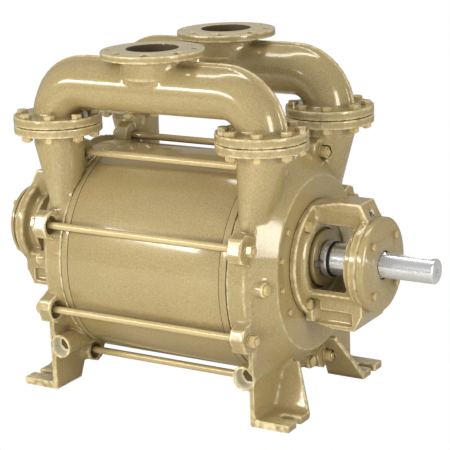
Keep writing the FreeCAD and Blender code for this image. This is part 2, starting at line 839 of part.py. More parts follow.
def cover_hollows():
    """What is cut from the cover: one chamber per side, the risers' bores and all holes."""
    wall = "head_wall"
    rim_hollow = cylinder("rim_hollow", "casing_radius - casing_wall - 3", "rim_width - %s" % wall,
                          "%s" % HEAD_IN, "0", "casing_height", "x")
    drum_hollow = cylinder("drum_hollow", "drum_face - %s" % wall, "rim_width + drum_width - %s" % wall,
                           "%s" % HEAD_IN, "0", "(casing_height + shaft_height) / 2", "x")
    kept = [on_shaft("tunnel_wall", "shaft_tunnel", "rim_width + drum_width", HEAD_IN),
            block("split_wall", "rim_width + drum_width", "split_wall", "2 * casing_radius", HEAD_IN,
                  "0 - split_wall / 2", "casing_height - casing_radius")]
    for number, (across, up) in enumerate(bracket_bolt_places()):
        kept.append(cylinder("bolt_boss_%d" % number, "2 * bolt_radius", "bracket_bolt_depth + 8",
                             "%s - bracket_bolt_depth - 8" % FACE, across, up, "x"))
    tools = [cut("chambers", join("chamber_space", rim_hollow, drum_hollow), join("chamber_walls", *kept))]
    for side in (-1, 1):
        tools += riser(side, "riser_bore", "pipe_bore", "riser_foot_reach - %s" % wall,
                       "riser_foot_width - riser_wall", "riser_foot", "pipe_bore - riser_waist")
        tools.append(bolt_ring("riser_holes_%d" % side, "flange_hole", "flange_circle", "flange_bolts",
                               "flange_thickness", PORT_X, side_of(side), "%s - flange_thickness" % RISER_TOP))
        start = "foot_side + 1" if side < 0 else "foot_side + 1 - port_depth"
        tools.append(cylinder("side_port_%d" % side, "port_bore", "port_depth", "port_boss_axis",
                              minus("foot_side + 1") if side < 0 else start, "port_boss_height", "y"))
    reach = "(rod_washer + rod_nut + rod_end + 1)"
    tools += [rod_ring("rod_holes", "rod_radius + rod_gap", "%s - 20" % HEAD_IN, "rim_width + 21"),
              rod_ring("nut_spots", "rod_washer_radius + spot_gap", RIM_OUT, reach),
              cylinder("plate_room", "casing_radius + 1", "rim_width", "%s - rim_width" % HEAD_IN,
                       "0", "casing_height", "x")]
    tools += rod_cups()
    tools.append(block("under_feet", "foot_end", "2 * casing_radius", "foot_plate", "0", "0 - casing_radius",
                       "0 - foot_plate"))
    tools.append(on_shaft("neck_bore", "shaft_core + neck_gap", "neck_width + 2", "%s - 1" % HEAD_IN))
    tools.append(on_shaft("seal_bore", "seal_chamber", "%s - %s + 1" % (BOSS_END, SHOULDER), SHOULDER))
    for number, (across, up) in enumerate(bracket_bolt_places()):
        tools.append(cylinder("bracket_tap_%d" % number, "bolt_radius + thread_gap", "bracket_bolt_depth + 1",
                              "%s - bracket_bolt_depth" % FACE, across, up, "x"))
    for number, (across, up) in enumerate(plate_screw_places()):
        tools.append(cylinder("plate_screw_hole_%d" % number, "plate_screw_radius + thread_gap",
                              "rim_width + drum_width + 2", "%s - 1" % HEAD_IN, across, up, "x"))
    for number, (across, up, boss) in enumerate(PLUGS):
        tools.append(cylinder("plug_hole_%d" % number, "plug_radius + thread_gap", "%s + head_wall + 2" % boss,
                              "%s - head_wall - 1" % RIM_OUT, across, up, "x"))
    for number, (across, up) in enumerate(gland_stud_places()):
        tools.append(cylinder("stud_hole_%d" % number, "stud_radius + thread_gap", "stud_depth + 1",
                              "%s - stud_depth" % BOSS_END, across, up, "x"))
    return tools


def plate_screw_places():
    places = []
    for across, up in (("inner_screw_side", "inner_screw_rise"), ("outer_screw_side", "outer_screw_rise")):
        for sign in ("", "0 - "):
            places.append((sign + across, "shaft_height + " + up))
            places.append((sign + across, "shaft_height - " + up))
    return places


def gland_stud_places():
    return [("gland_stud_circle / 2", "shaft_height"), ("0 - gland_stud_circle / 2", "shaft_height")]


def bracket_bolt_places():
    """The four bracket bolts, above and below the shaft on both sides."""
    across = "bracket_bolt_circle * cos(bracket_bolt_angle)"
    up = "bracket_bolt_circle * sin(bracket_bolt_angle)"
    return [(a + across, "shaft_height" + b + up)
            for a, b in (("", " + "), ("0 - ", " + "), ("", " - "), ("0 - ", " - "))]


def bolt_ring(name, radius, circle, count, length, x, y, z):
    """Upright bolt holes on a circle, as one tool: no hole lies on the pipe's own plane."""
    body = new_body(name)
    sketch = new_sketch(body, "XY_Plane", turn=180 / SIZES[count])
    add_circle(sketch, radius, ("%s / 2" % circle, "0"))
    pattern(body, pad(body, sketch, length), sketch, count)
    return put(body, x, y, z)


# Manifolds: an upturned U of pipe with a flange at each foot and an outlet on top

def make_manifold(label, side):
    body = new_body(label + "_body")
    route = new_sketch(body, "XZ_Plane")
    add_route(route, [(minus(PORT_X), MANIFOLD_LOW), (minus(PORT_X), "pipe_height"), (PORT_X, "pipe_height"),
                      (PORT_X, MANIFOLD_LOW)], "bend_radius")
    run_pipe(body, "PartDesign::AdditivePipe", route, "pipe_radius")
    feet = new_sketch(body, "XY_Plane", ("0", "0", MANIFOLD_LOW))
    add_circle(feet, "flange_radius", (PORT_X, "0"))
    add_circle(feet, "flange_radius", (minus(PORT_X), "0"))
    pad(body, feet, "flange_thickness")
    add_outlet(body)
    for end in (-1, 1):
        add_fin(body, end)
    add_top_fin(body)
    run_pipe(body, "PartDesign::SubtractivePipe", route, "pipe_bore")
    for end in (-1, 1):
        middle = PORT_X if end > 0 else minus(PORT_X)
        drill_ring(body, (middle, "0", "%s + flange_thickness" % MANIFOLD_LOW), "flange_hole", "flange_circle",
                   "flange_bolts", "flange_thickness")
    open_outlet(body)
    drill_ring(body, ("0", "0", "outlet_height"), "outlet_hole", "outlet_circle", "outlet_bolts",
               "outlet_thickness + raised_face")
    finish(label, put(body, y=side_of(side)))


def run_pipe(body, kind, route, radius):
    ring = add_circle(new_sketch(body, "XY_Plane", ("0", "0", MANIFOLD_LOW)), radius, (minus(PORT_X), "0"))
    pipe = body.newObject(kind, body.Name + "_pipe")
    pipe.Profile = ring
    pipe.Spine = route
    doc.recompute()
    return pipe


def add_outlet(body):
    """The T body, its neck and the outlet flange with its raised face."""
    top = "(outlet_height - raised_face)"
    under = "(%s - outlet_thickness)" % top
    outline = [("0", "pipe_height"), ("neck_root", "pipe_height"),
               ("(neck_root + neck_radius) / 2", "pipe_height + neck_rise / 2"),
               ("neck_radius", "pipe_height + neck_rise"), ("neck_radius", "%s - neck_edge" % under),
               ("neck_radius + neck_edge", under), ("outlet_radius", under),
               ("outlet_radius", top), ("raised_radius", top), ("raised_radius", "outlet_height"),
               ("0", "outlet_height")]
    spin(body, outline, "V_Axis")
    doc.recompute()


def add_fin(body, end):
    """A thin rib that hugs the outside of an elbow from its flange to its crown."""
    middle = V(value("%s - bend_radius" % PORT_X) * end, value("pipe_height - bend_radius"), 0)
    inner = value("bend_radius + pipe_radius - fin_root")
    outer = value("bend_radius + pipe_radius + fin_height")
    low, high = (0, math.pi / 2) if end > 0 else (math.pi / 2, math.pi)
    sketch = new_sketch(body, "XZ_Plane")
    arcs = []
    for radius in (inner, outer):
        arc = Part.ArcOfCircle(Part.Circle(middle, V(0, 0, 1), radius), low, high)
        arcs.append(sketch.addGeometry(arc, False))
    for place in (1, 2):
        start, stop = (sketch.getPoint(arc, place) for arc in arcs)
        line = sketch.addGeometry(Part.LineSegment(start, stop), False)
        sketch.addConstraint(Sketcher.Constraint("Coincident", arcs[0], place, line, 1))
        sketch.addConstraint(Sketcher.Constraint("Coincident", arcs[1], place, line, 2))
    centre = ("%s(%s - bend_radius)" % ("" if end > 0 else "0 - ", PORT_X), "pipe_height - bend_radius")
    radii = ("bend_radius + pipe_radius - fin_root", "bend_radius + pipe_radius + fin_height")
    for arc, radius in zip(arcs, radii):
        pin_point(sketch, arc, 3, centre)
        number = sketch.addConstraint(Sketcher.Constraint("Radius", arc, value(radius)))
        sketch.setExpression("Constraints[%d]" % number, formula(radius))
    pad(body, sketch, "fin_thickness", both=True)
    doc.recompute()


def add_top_fin(body):
    """The same rib, straight along the top of the pipe from one elbow to the other."""
    end = "(%s - bend_radius)" % PORT_X
    low = "pipe_height + pipe_radius - fin_root"
    high = "pipe_height + pipe_radius + fin_height"
    outline = [(minus(end), low), (end, low), (end, high), (minus(end), high)]
    pad(body, add_outline(new_sketch(body, "XZ_Plane"), outline), "fin_thickness", both=True)
    doc.recompute()


def open_outlet(body):
    bore = add_circle(new_sketch(body, "XY_Plane", ("0", "0", "outlet_height")), "outlet_bore")
    pocket(body, bore, "outlet_bore_depth")


def drill_ring(body, at, radius, circle, count, depth):
    sketch = new_sketch(body, "XY_Plane", at, turn=180 / SIZES[count])
    add_circle(sketch, radius, ("%s / 2" % circle, "0"))
    pattern(body, pocket(body, sketch, depth), sketch, count)
    doc.recompute()


# Fasteners

def add_hexagon(sketch, flats, centre=("0", "0")):
    """A hexagon with two corners along the sketch's first axis."""
    corners = []
    for number in range(6):
        angle = 60 * number
        reach = "%s / sqrt(3)" % flats
        corners.append(("%s + %s * cos(%d)" % (centre[0], reach, angle),
                        "%s + %s * sin(%d)" % (centre[1], reach, angle)))
    return add_outline(sketch, corners)


def hex_piece(name, role, at, turn, centre, flats, thick, hole=None):
    """A hexagonal nut or head in a body of its own, with its body and sketch."""
    body = new_body(name)
    sketch = add_hexagon(new_sketch(body, role, at, turn), flats, centre)
    if hole:
        add_circle(sketch, hole, centre)
    return body, sketch, pad(body, sketch, thick)


def make_tie_rods():
    turn = 180 / SIZES["rod_count"]
    nut_in = "(%s + rod_washer)" % RIM_OUT
    end = "(%s + rod_nut + rod_end)" % nut_in
    body = new_body("rod_body")
    sketch = new_sketch(body, "YZ_Plane", ("0", "0", minus(end)), turn)
    add_circle(sketch, "rod_radius", ("rod_circle", "0"))
    ring_pattern(body, pad(body, sketch, "2 * %s" % end), "rod_count")
    finish("tie_rods", put(body, z="casing_height"))
    washer = new_body("rod_washer_body")
    sketch = new_sketch(washer, "YZ_Plane", ("0", "0", RIM_OUT), turn)
    add_circle(sketch, "rod_washer_radius", ("rod_circle", "0"))
    add_circle(sketch, "rod_radius + thread_gap", ("rod_circle", "0"))
    ring_pattern(washer, pad(washer, sketch, "rod_washer"), "rod_count")
    finish("tie_rod_washers", both_ends("rod_washers_all", put(washer, z="casing_height")))
    nut, sketch, solid = hex_piece("rod_nut_body", "YZ_Plane", ("0", "0", nut_in), turn, ("rod_circle", "0"),
                                   "rod_nut_flats", "rod_nut", "rod_radius + thread_gap")
    ring_pattern(nut, solid, "rod_count")
    finish("tie_rod_nuts", both_ends("rod_nuts_all", put(nut, z="casing_height")))


def four_corners(name, body):
    """Copies of one joint's fasteners at all four risers."""
    return both_ends(name, both_sides(name + "_drive", put(body, PORT_X, SIDE_Y)))


def make_joint_fasteners():
    """Gasket, bolts and nuts of the four flanged joints between risers and manifolds."""
    ring = new_body("joint_gasket_body")
    sketch = new_sketch(ring, "XY_Plane", ("0", "0", RISER_TOP))
    add_circle(sketch, "flange_circle / 2 - flange_hole - 1")
    add_circle(sketch, "pipe_bore")
    pad(ring, sketch, "joint_gasket")
    finish("manifold_gaskets", four_corners("joint_gaskets_all", ring))
    turn = 180 / SIZES["flange_bolts"]
    head_low = "(%s + flange_thickness)" % MANIFOLD_LOW
    nut_top = "(%s - flange_thickness)" % RISER_TOP
    place = ("flange_circle / 2", "0")
    head, sketch, solid = hex_piece("joint_bolt_body", "XY_Plane", ("0", "0", head_low), turn, place,
                                    "bolt_flats", "bolt_head")
    pattern(head, solid, sketch, "flange_bolts")
    shank = new_body("joint_shank_body")
    low = "(%s - bolt_nut - bolt_end)" % nut_top
    sketch = add_circle(new_sketch(shank, "XY_Plane", ("0", "0", low), turn), "bolt_radius", place)
    pattern(shank, pad(shank, sketch, "%s - %s" % (head_low, low)), sketch, "flange_bolts")
    finish("manifold_bolts", four_corners("joint_bolts_all", join("joint_bolts", head, shank)))
    nut_low = "%s - bolt_nut" % nut_top
    nut, sketch, solid = hex_piece("joint_nut_body", "XY_Plane", ("0", "0", nut_low), turn, place,
                                   "bolt_flats", "bolt_nut", "bolt_radius + thread_gap")
    pattern(nut, solid, sketch, "flange_bolts")
    finish("manifold_nuts", four_corners("joint_nuts_all", nut))


def screw(name, across, up, seat, head, flats, radius, depth):
    """One hexagon screw along X: its head stands on a seat and its shank runs back into the pump."""
    body = new_body(name)
    pad(body, add_hexagon(new_sketch(body, "YZ_Plane", ("0", "0", seat)), flats), head)
    doc.recompute()
    pad(body, add_circle(new_sketch(body, "YZ_Plane", ("0", "0", seat)), radius), depth, back=True)
    return put(body, "0", across, up)


def make_screws():
    plate = [screw("plate_screw_%d" % number, across, up, FACE, "plate_screw_head", "plate_screw_flats",
                   "plate_screw_radius", "%s - %s + plate_screw_depth - 1" % (FACE, PLATE_OUT))
             for number, (across, up) in enumerate(plate_screw_places())]
    finish("port_plate_screws", both_ends("plate_screws_all", group("plate_screw_group", *plate)))
    seat = "(%s + bracket_flange)" % FACE
    bolts = [screw("bracket_bolt_%d" % number, across, up, seat, "bolt_head", "bolt_flats",
                   "bolt_radius", "bracket_flange + bracket_bolt_depth - 1")
             for number, (across, up) in enumerate(bracket_bolt_places())]
    finish("bracket_bolts", both_ends("bracket_bolts_all", group("bracket_bolt_group", *bolts)))
    drive = cover_screws("drive", "cover_thickness")
    rear = cover_screws("rear", "rear_cover_depth")
    finish("bearing_cover_screws", group("cover_screws_all", drive, mirror("rear_cover_screws", rear)))


def cover_screw_places():
    reach = "cover_screw_circle / 2 * sqrt(0.5)"
    return [(a + reach, "shaft_height" + b + reach)
            for a, b in (("", " + "), ("0 - ", " + "), ("", " - "), ("0 - ", " - "))]


def cover_screws(end, thick):
    return group(end + "_screws", *[
        screw("%s_screw_%d" % (end, number), across, up, "%s + %s" % (HOUSING_END, thick), "cover_screw_head",
              "cover_screw_flats", "cover_screw_radius", "%s + cover_screw_depth - 1" % thick)
        for number, (across, up) in enumerate(cover_screw_places())])


def make_gland_fasteners():
    studs = []
    nuts = []
    for number, (across, up) in enumerate(gland_stud_places()):
        start = "(%s - stud_depth + 1)" % BOSS_END
        length = "stud_depth - 1 + gland_thickness + stud_nut + stud_end"
        studs.append(cylinder("gland_stud_%d" % number, "stud_radius", length, start, across, up, "x"))
        nut, sketch, solid = hex_piece("gland_nut_%d" % number, "YZ_Plane", ("0", "0", GLAND_END), 0,
                                       ("0", "0"), "stud_nut_flats", "stud_nut", "stud_radius + thread_gap")
        nuts.append(put(nut, "0", across, up))
    finish("gland_studs", both_ends("gland_studs_all", group("gland_stud_group", *studs)))
    finish("gland_nuts", both_ends("gland_nuts_all", group("gland_nut_group", *nuts)))


def make_plugs():
    plugs = []
    for number, (across, up, boss) in enumerate(PLUGS):
        body = new_body("plug_%d" % number)
        seat = "(%s + %s)" % (RIM_OUT, boss)
        top = "%s + plug_head" % seat
        end = "%s - plug_depth" % seat
        spin(body, [(end, "0"), (top, "0"), (top, "plug_head_radius - 3"), (top + " - 2", "plug_head_radius"),
                    (seat, "plug_head_radius"), (seat, "plug_radius"), (end, "plug_radius")])
        plugs.append(put(body, "0", across, up))
    finish("pipe_plugs", both_ends("pipe_plugs_all", group("pipe_plug_group", *plugs)))


# Bearing brackets: a bolted flange, a lantern open at both sides and the bearing housing

def make_brackets():
    body = new_body("bracket_solid")
    flange = "(%s + bracket_flange)" % FACE
    window_out = "(%s + window_end)" % FACE
    spin(body, [(FACE, "0"), (FACE, "bracket_flange_radius"), (flange, "bracket_flange_radius"),
                (flange, "lantern_radius + lantern_flare"), (flange + " + lantern_flare", "lantern_radius"),
                (window_out, "lantern_radius"), (window_out + " + cast_edge", "housing_radius"),
                (HOUSING_END + " - cast_edge", "housing_radius"), (HOUSING_END, "housing_radius - cast_edge"),
                (HOUSING_END, "0")])
    doc.recompute()
    for sign, width in ((1, "upper_arm_width"), (-1, "lower_arm_width")):
        start = "%s + 6" % FACE
        end = "%s - cast_edge" % HOUSING_END
        low = "(lantern_radius - arm_root)"
        outline = [(start, low), (start, "bracket_flange_radius - 6"), (flange, "bracket_flange_radius - 6"),
                   (flange + " + arm_slope", "arm_reach"), ("%s - arm_setback" % HOUSING_END, "arm_reach"),
                   ("%s - cast_edge" % end, "housing_radius + cast_edge"), (end, "housing_radius - 2"),
                   (end, low)]
        if sign < 0:
            outline = [(a, minus(b)) for a, b in outline]
        pad(body, add_outline(new_sketch(body, "XZ_Plane"), outline), width, both=True)
        doc.recompute()
    put(body, z="shaft_height")
    lantern = "lantern_radius - lantern_wall"
    tools = [
        on_shaft("bracket_spigot", "seal_boss_radius + shaft_fit", "bracket_flange + 1", "%s - 1" % FACE),
        on_shaft("lantern_space", lantern, "%s - %s - bracket_flange" % (HOUSING_IN, FACE), flange),
        on_shaft("housing_hole", "housing_bore", "housing_length", HOUSING_IN),
        on_shaft("grease_room", "grease_space", "grease_width + 1", "%s - grease_width" % BEARING_IN),
        on_shaft("bearing_seat", "bearing_outer", "%s - %s + 1" % (HOUSING_END, BEARING_IN), BEARING_IN),
    ]
    window_in = "(%s + window_start)" % FACE
    for name, start in (("front", "window_top"), ("back", "180 - window_bottom")):
        begin = value(start) + 90
        sector = cylinder(name + "_window_space", "arm_reach + 40", "%s - %s" % (window_out, window_in),
                          window_in, "0", "shaft_height", "x", value("window_bottom - window_top"), begin)
        bind(sector, Angle="window_bottom - window_top")
        length = "%s - %s + 1" % (window_out, HOUSING_IN)
        barrel = on_shaft(name + "_barrel", "barrel_radius", length, HOUSING_IN)
        tools.append(cut(name + "_window", sector, barrel))
    for number, (across, up) in enumerate(bracket_bolt_places()):
        tools.append(cylinder("bracket_hole_%d" % number, "bolt_radius + rod_gap", "bracket_flange + 2",
                              "%s - 1" % FACE, across, up, "x"))
        tools.append(cylinder("bolt_spot_%d" % number, "bolt_flats / 2 + 4", "30", flange, across, up, "x"))
    for number, (across, up) in enumerate(cover_screw_places()):
        tools.append(cylinder("cover_tap_%d" % number, "cover_screw_radius + thread_gap",
                              "cover_screw_depth + 1", "%s - cover_screw_depth" % HOUSING_END, across, up, "x"))
    tools.append(cylinder("nipple_hole", "nipple_radius + thread_gap", "60", NIPPLE_X, "0",
                          "shaft_height + bearing_outer - 2", "z"))
    tools.append(cylinder("nipple_spot", "nipple_radius + 5", "60", NIPPLE_X, "0",
                          "shaft_height + housing_radius", "z"))
    for side in (-1, 1):
        start = "0 - lower_arm_width / 2 - 1" if side < 0 else "lower_arm_width / 2 - arm_panel"
        tools.append(block("arm_panel_%d" % side, "window_end - window_start - 6", "arm_panel + 1",
                           "arm_panel_height", "%s + window_start" % FACE, start,
                           "shaft_height - arm_reach + arm_panel"))
    bracket = cut("drive_bracket", body, join("bracket_cuts", *tools))
    finish("drive_bearing_bracket", bracket)
    finish("rear_bearing_bracket", mirror("rear_bracket", bracket))


NIPPLE_X = "(%s - 12)" % HOUSING_END


def make_nipples():
    body = new_body("nipple_body")
    low = "housing_radius - 8"
    top = "housing_radius + nipple_height"
    spin(body, [("0", low), ("nipple_radius", low), ("nipple_radius", "housing_radius"),
                ("nipple_radius + 2", "housing_radius"), ("nipple_radius + 2", "housing_radius + 6"),
                ("nipple_radius - 1", "housing_radius + 6"), ("nipple_radius - 1", top + " - 3"),
                ("nipple_radius - 2", top), ("0", top)], "V_Axis")
    finish("grease_nipples", both_ends("grease_nipples_all", put(body, NIPPLE_X, "0", "shaft_height")))


def make_bearing_covers():
    fit = "bearing_outer - shaft_fit"
    out = "(%s + cover_thickness)" % HOUSING_END
    seat = "(%s - lip_seal_setback)" % out
    behind_seal = "%s - lip_seal_width - 1" % seat
    body = new_body("drive_cover_body")
    spin(body, [(BEARING_OUT, "grease_space"), (BEARING_OUT, fit), (HOUSING_END, fit),
                (HOUSING_END, "cover_radius"), (out + " - cast_edge", "cover_radius"),
                (out, "cover_radius - cast_edge"), (out, "seal_seat + 3"), (seat, "seal_seat + 3"),
                (seat, "lip_seal_radius"), (behind_seal, "lip_seal_radius"), (behind_seal, "grease_space")])
    put(body, z="shaft_height")
    holes = join("drive_cover_holes", *cover_holes("drive", "cover_thickness"))
    drive = cut("drive_cover_drilled", body, holes)
    finish("drive_bearing_cover", drive)
    body = new_body("rear_cover_body")
    end = "(%s + rear_cover_depth)" % HOUSING_END
    flange = "%s + rear_cover_flange" % HOUSING_END
    rim = "%s - rear_cover_rim" % end
    waist = "rear_cover_radius - rear_cover_waist"
    spin(body, [(BEARING_OUT, "grease_space"), (BEARING_OUT, fit), (HOUSING_END, fit),
                (HOUSING_END, "rear_cover_radius + 6"), (flange, "rear_cover_radius + 6"),
                (flange, waist), (rim, waist), (rim, "rear_cover_radius"), (end + " - 2", "rear_cover_radius"),
                (end, "rear_cover_radius - 2"), (end, "0"), (end + " - rear_cover_wall", "0"),
                (end + " - rear_cover_wall", "grease_space")])
    put(body, z="shaft_height")
    holes = join("rear_cover_holes", *cover_holes("rear", "rear_cover_depth"))
    rear = cut("rear_cover_drilled", body, holes)
    finish("rear_bearing_cover", mirror("rear_cover_left", rear))


def cover_holes(end, thick):
    return [cylinder("%s_cover_hole_%d" % (end, number), "cover_screw_radius + rod_gap / 2", "%s + 2" % thick,
                     "%s - 1" % HOUSING_END, across, up, "x")
            for number, (across, up) in enumerate(cover_screw_places())]


# Shaft and what turns with it

def make_shaft():
    body = new_body("shaft_body")
    rear_end = minus("%s + 4" % NUT_END)
    spin(body, [(rear_end, "0"), (rear_end, "shaft_seat - 2"), (rear_end + " + 2", "shaft_seat"),
                (minus(SHOULDER), "shaft_seat"), (minus(SHOULDER), "shaft_core"), (SHOULDER, "shaft_core"),
                (SHOULDER, "shaft_seat"), (NUT_END + " + 1", "shaft_seat"), (NUT_END + " + 1", "seal_seat"),
                (SHAFT_END_IN, "seal_seat"), (SHAFT_END_IN, "shaft_end"),
                (SHAFT_TIP + " - shaft_end_chamfer", "shaft_end"),
                (SHAFT_TIP, "shaft_end - shaft_end_chamfer"), (SHAFT_TIP, "0")])
    doc.recompute()
    start = "%s + 3" % SHAFT_END_IN
    half = "key_width / 2"
    flat = [(start, minus(half)), (start + " + keyway_length", minus(half)),
            (start + " + keyway_length", half), (start, half)]
    keyway = new_sketch(body, "XY_Plane", ("0", "0", "shaft_end - key_depth"))
    pocket(body, add_outline(keyway, flat), "key_depth + 2", back=True)
    slot = new_sketch(body, "XY_Plane", ("0", "0", "shaft_core - impeller_key_depth"))
    ends = "impeller_key_length / 2"
    key_half = "impeller_key_width / 2"
    pocket(body, add_outline(slot, [(minus(ends), minus(key_half)), (ends, minus(key_half)), (ends, key_half),
                                    (minus(ends), key_half)]), "impeller_key_depth + 2", back=True)
    centre = new_sketch(body, "YZ_Plane", ("0", "0", SHAFT_TIP))
    pocket(body, add_circle(centre, "centre_hole"), "3 * centre_hole")
    finish("shaft", put(body, z="shaft_height"))


def make_impeller_key():
    key = block("impeller_key_block", "impeller_key_length - 2 * key_gap", "impeller_key_width - 2 * key_gap",
                "impeller_key_height", "key_gap - impeller_key_length / 2", "key_gap - impeller_key_width / 2",
                "shaft_height + shaft_core - impeller_key_depth")
    finish("impeller_key", key)


def ring_piece(name, start, end, inner, outer):
    """A plain ring on the shaft."""
    body = new_body(name)
    spin(body, [(start, inner), (end, inner), (end, outer), (start, outer)])
    return put(body, z="shaft_height")


def make_seals():
    inner = "shaft_seat + shaft_fit"
    sleeve = ring_piece("sleeve_body", SHOULDER, BEARING_IN, inner, SLEEVE_RADIUS)
    finish("shaft_sleeves", both_ends("sleeves_all", sleeve))
    on_sleeve = "%s + shaft_fit" % SLEEVE_RADIUS
    head = ring_piece("seal_head_body", "%s - seal_head_length" % SEAL_FACE, "%s - face_film" % SEAL_FACE,
                      on_sleeve, "%s + seal_head_wall" % SLEEVE_RADIUS)
    finish("rotating_seal_heads", both_ends("seal_heads_all", head))
    clear = "%s + gland_bore" % SLEEVE_RADIUS
    ring = ring_piece("seal_ring_body", SEAL_FACE, "%s + seal_ring_length" % SEAL_FACE, clear,
                      "%s + seal_ring_wall" % SLEEVE_RADIUS)
    finish("stationary_seal_rings", both_ends("seal_rings_all", ring))
    body = new_body("gland_body")
    pocket_end = "(%s + seal_ring_length)" % SEAL_FACE
    seat = "%s + seal_ring_wall + shaft_fit" % SLEEVE_RADIUS
    spin(body, [(BOSS_END, seat), (pocket_end, seat), (pocket_end, clear), (GLAND_END, clear),
                (GLAND_END, "gland_radius - 3"), (GLAND_END + " - 3", "gland_radius"),
                (BOSS_END, "gland_radius")])
    put(body, z="shaft_height")
    holes = [cylinder("gland_hole_%d" % number, "stud_radius + rod_gap / 2", "gland_thickness + 2",
                      "%s - 1" % BOSS_END, across, up, "x")
             for number, (across, up) in enumerate(gland_stud_places())]
    finish("seal_glands", both_ends("glands_all", cut("gland_drilled", body, join("gland_holes", *holes))))
    collar = ring_piece("collar_body", COLLAR_IN, COLLAR_OUT, on_sleeve, "%s + collar_wall" % SLEEVE_RADIUS)
    finish("seal_drive_collars", both_ends("collars_all", collar))
    start = "(%s + vring_gap)" % COLLAR_OUT
    vring = ring_piece("collar_vring", start, "%s + vring_width" % start, on_sleeve,
                       "%s + vring_wall" % SLEEVE_RADIUS)
    finish("v_rings", both_ends("vrings_all", vring))
    seat = "(%s + cover_thickness - lip_seal_setback)" % HOUSING_END
    lip = ring_piece("lip_seal_body", "%s - lip_seal_width" % seat, seat, "seal_seat + shaft_fit",
                     "lip_seal_radius - shaft_fit")
    finish("drive_lip_seal", lip)


def make_locknuts():
    inner = "shaft_seat + shaft_fit"
    washer = ring_piece("lock_washer_body", BEARING_OUT, "%s + lock_washer" % BEARING_OUT, inner,
                        "locknut_radius - 2")
    finish("lock_washers", both_ends("lock_washers_all", washer))
    start = "(%s + lock_washer)" % BEARING_OUT
    body = new_body("locknut_body")
    spin(body, [(start, inner), (NUT_END, inner), (NUT_END, "locknut_radius - 2"),
                (NUT_END + " - 2", "locknut_radius"), (start, "locknut_radius")])
    doc.recompute()
    notch = new_sketch(body, "YZ_Plane", ("0", "0", start))
    add_outline(notch, [("locknut_radius - 5", "0 - 4"), ("locknut_radius + 5", "0 - 4"),
                        ("locknut_radius + 5", "4"), ("locknut_radius - 5", "4")])
    pattern(body, pocket(body, notch, "locknut_width + 1", back=True), notch, "4")
    finish("bearing_locknuts", both_ends("locknuts_all", put(body, z="shaft_height")))


# Rolling bearings

def groove(name, radius):
    """The ball track: a ring of round section about the shaft axis."""
    track = doc.addObject("Part::Torus", name)
    track.Placement = FreeCAD.Placement(V(0, 0, 0), FreeCAD.Rotation(V(0, 1, 0), 90))
    bind(track, Radius1="ball_circle", Radius2=radius)
    return put(track, "(%s + %s) / 2" % (BEARING_IN, BEARING_OUT), "0", "shaft_height")


def make_bearings():
    inner = ring_piece("inner_race_body", BEARING_IN, BEARING_OUT, "shaft_seat + shaft_fit", "race_inner_top")
    inner = cut("inner_race", inner, groove("inner_track", "ball_radius + ball_gap"))
    outer = ring_piece("outer_race_body", BEARING_IN, BEARING_OUT, "race_outer_low",
                       "bearing_outer - shaft_fit")
    outer = cut("outer_race", outer, groove("outer_track", "ball_radius + ball_gap"))
    middle = "(%s + %s) / 2" % (BEARING_IN, BEARING_OUT)
    balls = []
    holes = []
    for number in range(SIZES["ball_count"]):
        angle = 360 * number / SIZES["ball_count"]
        across = "ball_circle * cos(%g)" % angle
        up = "shaft_height + ball_circle * sin(%g)" % angle
        ball = bind(doc.addObject("Part::Sphere", "ball_%d" % number), Radius="ball_radius")
        hole = bind(doc.addObject("Part::Sphere", "ball_hole_%d" % number), Radius="ball_radius + ball_gap")
        balls.append(put(ball, middle, across, up))
        holes.append(put(hole, middle, across, up))
    ring = ring_piece("cage_body", middle + " - cage_width / 2", middle + " + cage_width / 2",
                      "ball_circle - cage_wall", "ball_circle + cage_wall")
    cage = cut("cage", ring, join("cage_holes", *holes))
    ball_set = group("ball_set", *balls)
    pieces = {"inner_race": inner, "outer_race": outer, "bearing_cage": cage, "bearing_balls": ball_set}
    for label, piece in pieces.items():
        finish("drive_" + label, piece)
        finish("rear_" + label, mirror("rear_" + label + "_left", piece))


make_casing()
make_casing_gaskets()
make_port_plates()
make_valves()
make_impeller()
make_end_covers()
make_manifold("front_manifold", -1)
make_manifold("back_manifold", 1)
make_tie_rods()
make_joint_fasteners()
make_screws()
make_gland_fasteners()
make_plugs()
make_brackets()
make_nipples()
make_bearing_covers()
make_shaft()
make_impeller_key()
make_seals()
make_locknuts()
make_bearings()
doc.recompute()

for thing in doc.Objects:
    if "Invalid" in thing.State or "Error" in thing.State:
        raise SystemExit("failed object: %s %s" % (thing.Label, thing.getStatusString()))
for thing in PARTS:
    if thing.Shape.isNull() or not thing.Shape.isValid() or not thing.Shape.Solids:
        raise SystemExit("bad shape: " + thing.Label)

os.makedirs("parts", exist_ok=True)
for thing in PARTS:
    thing.Shape.exportStep("parts/%s.step" % thing.Label)
    box = thing.Shape.BoundBox
    print("%-24s %2d solids  x %.1f..%.1f  y %.1f..%.1f  z %.1f..%.1f" % (
        thing.Label, len(thing.Shape.Solids), box.XMin, box.XMax, box.YMin, box.YMax, box.ZMin, box.ZMax))
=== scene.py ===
import json
import math

import bmesh
import bpy
import numpy as np
from mathutils import Matrix, Vector


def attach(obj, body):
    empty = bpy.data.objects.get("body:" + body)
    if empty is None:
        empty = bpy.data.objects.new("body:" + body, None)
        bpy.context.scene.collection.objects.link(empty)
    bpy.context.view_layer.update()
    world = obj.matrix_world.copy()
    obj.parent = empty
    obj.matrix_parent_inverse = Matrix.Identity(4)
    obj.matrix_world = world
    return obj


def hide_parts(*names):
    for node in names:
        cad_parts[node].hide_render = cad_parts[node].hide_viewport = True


# Liquid ring vacuum pump: enamelled castings round a tie-rod barrel, with a bright shaft end.

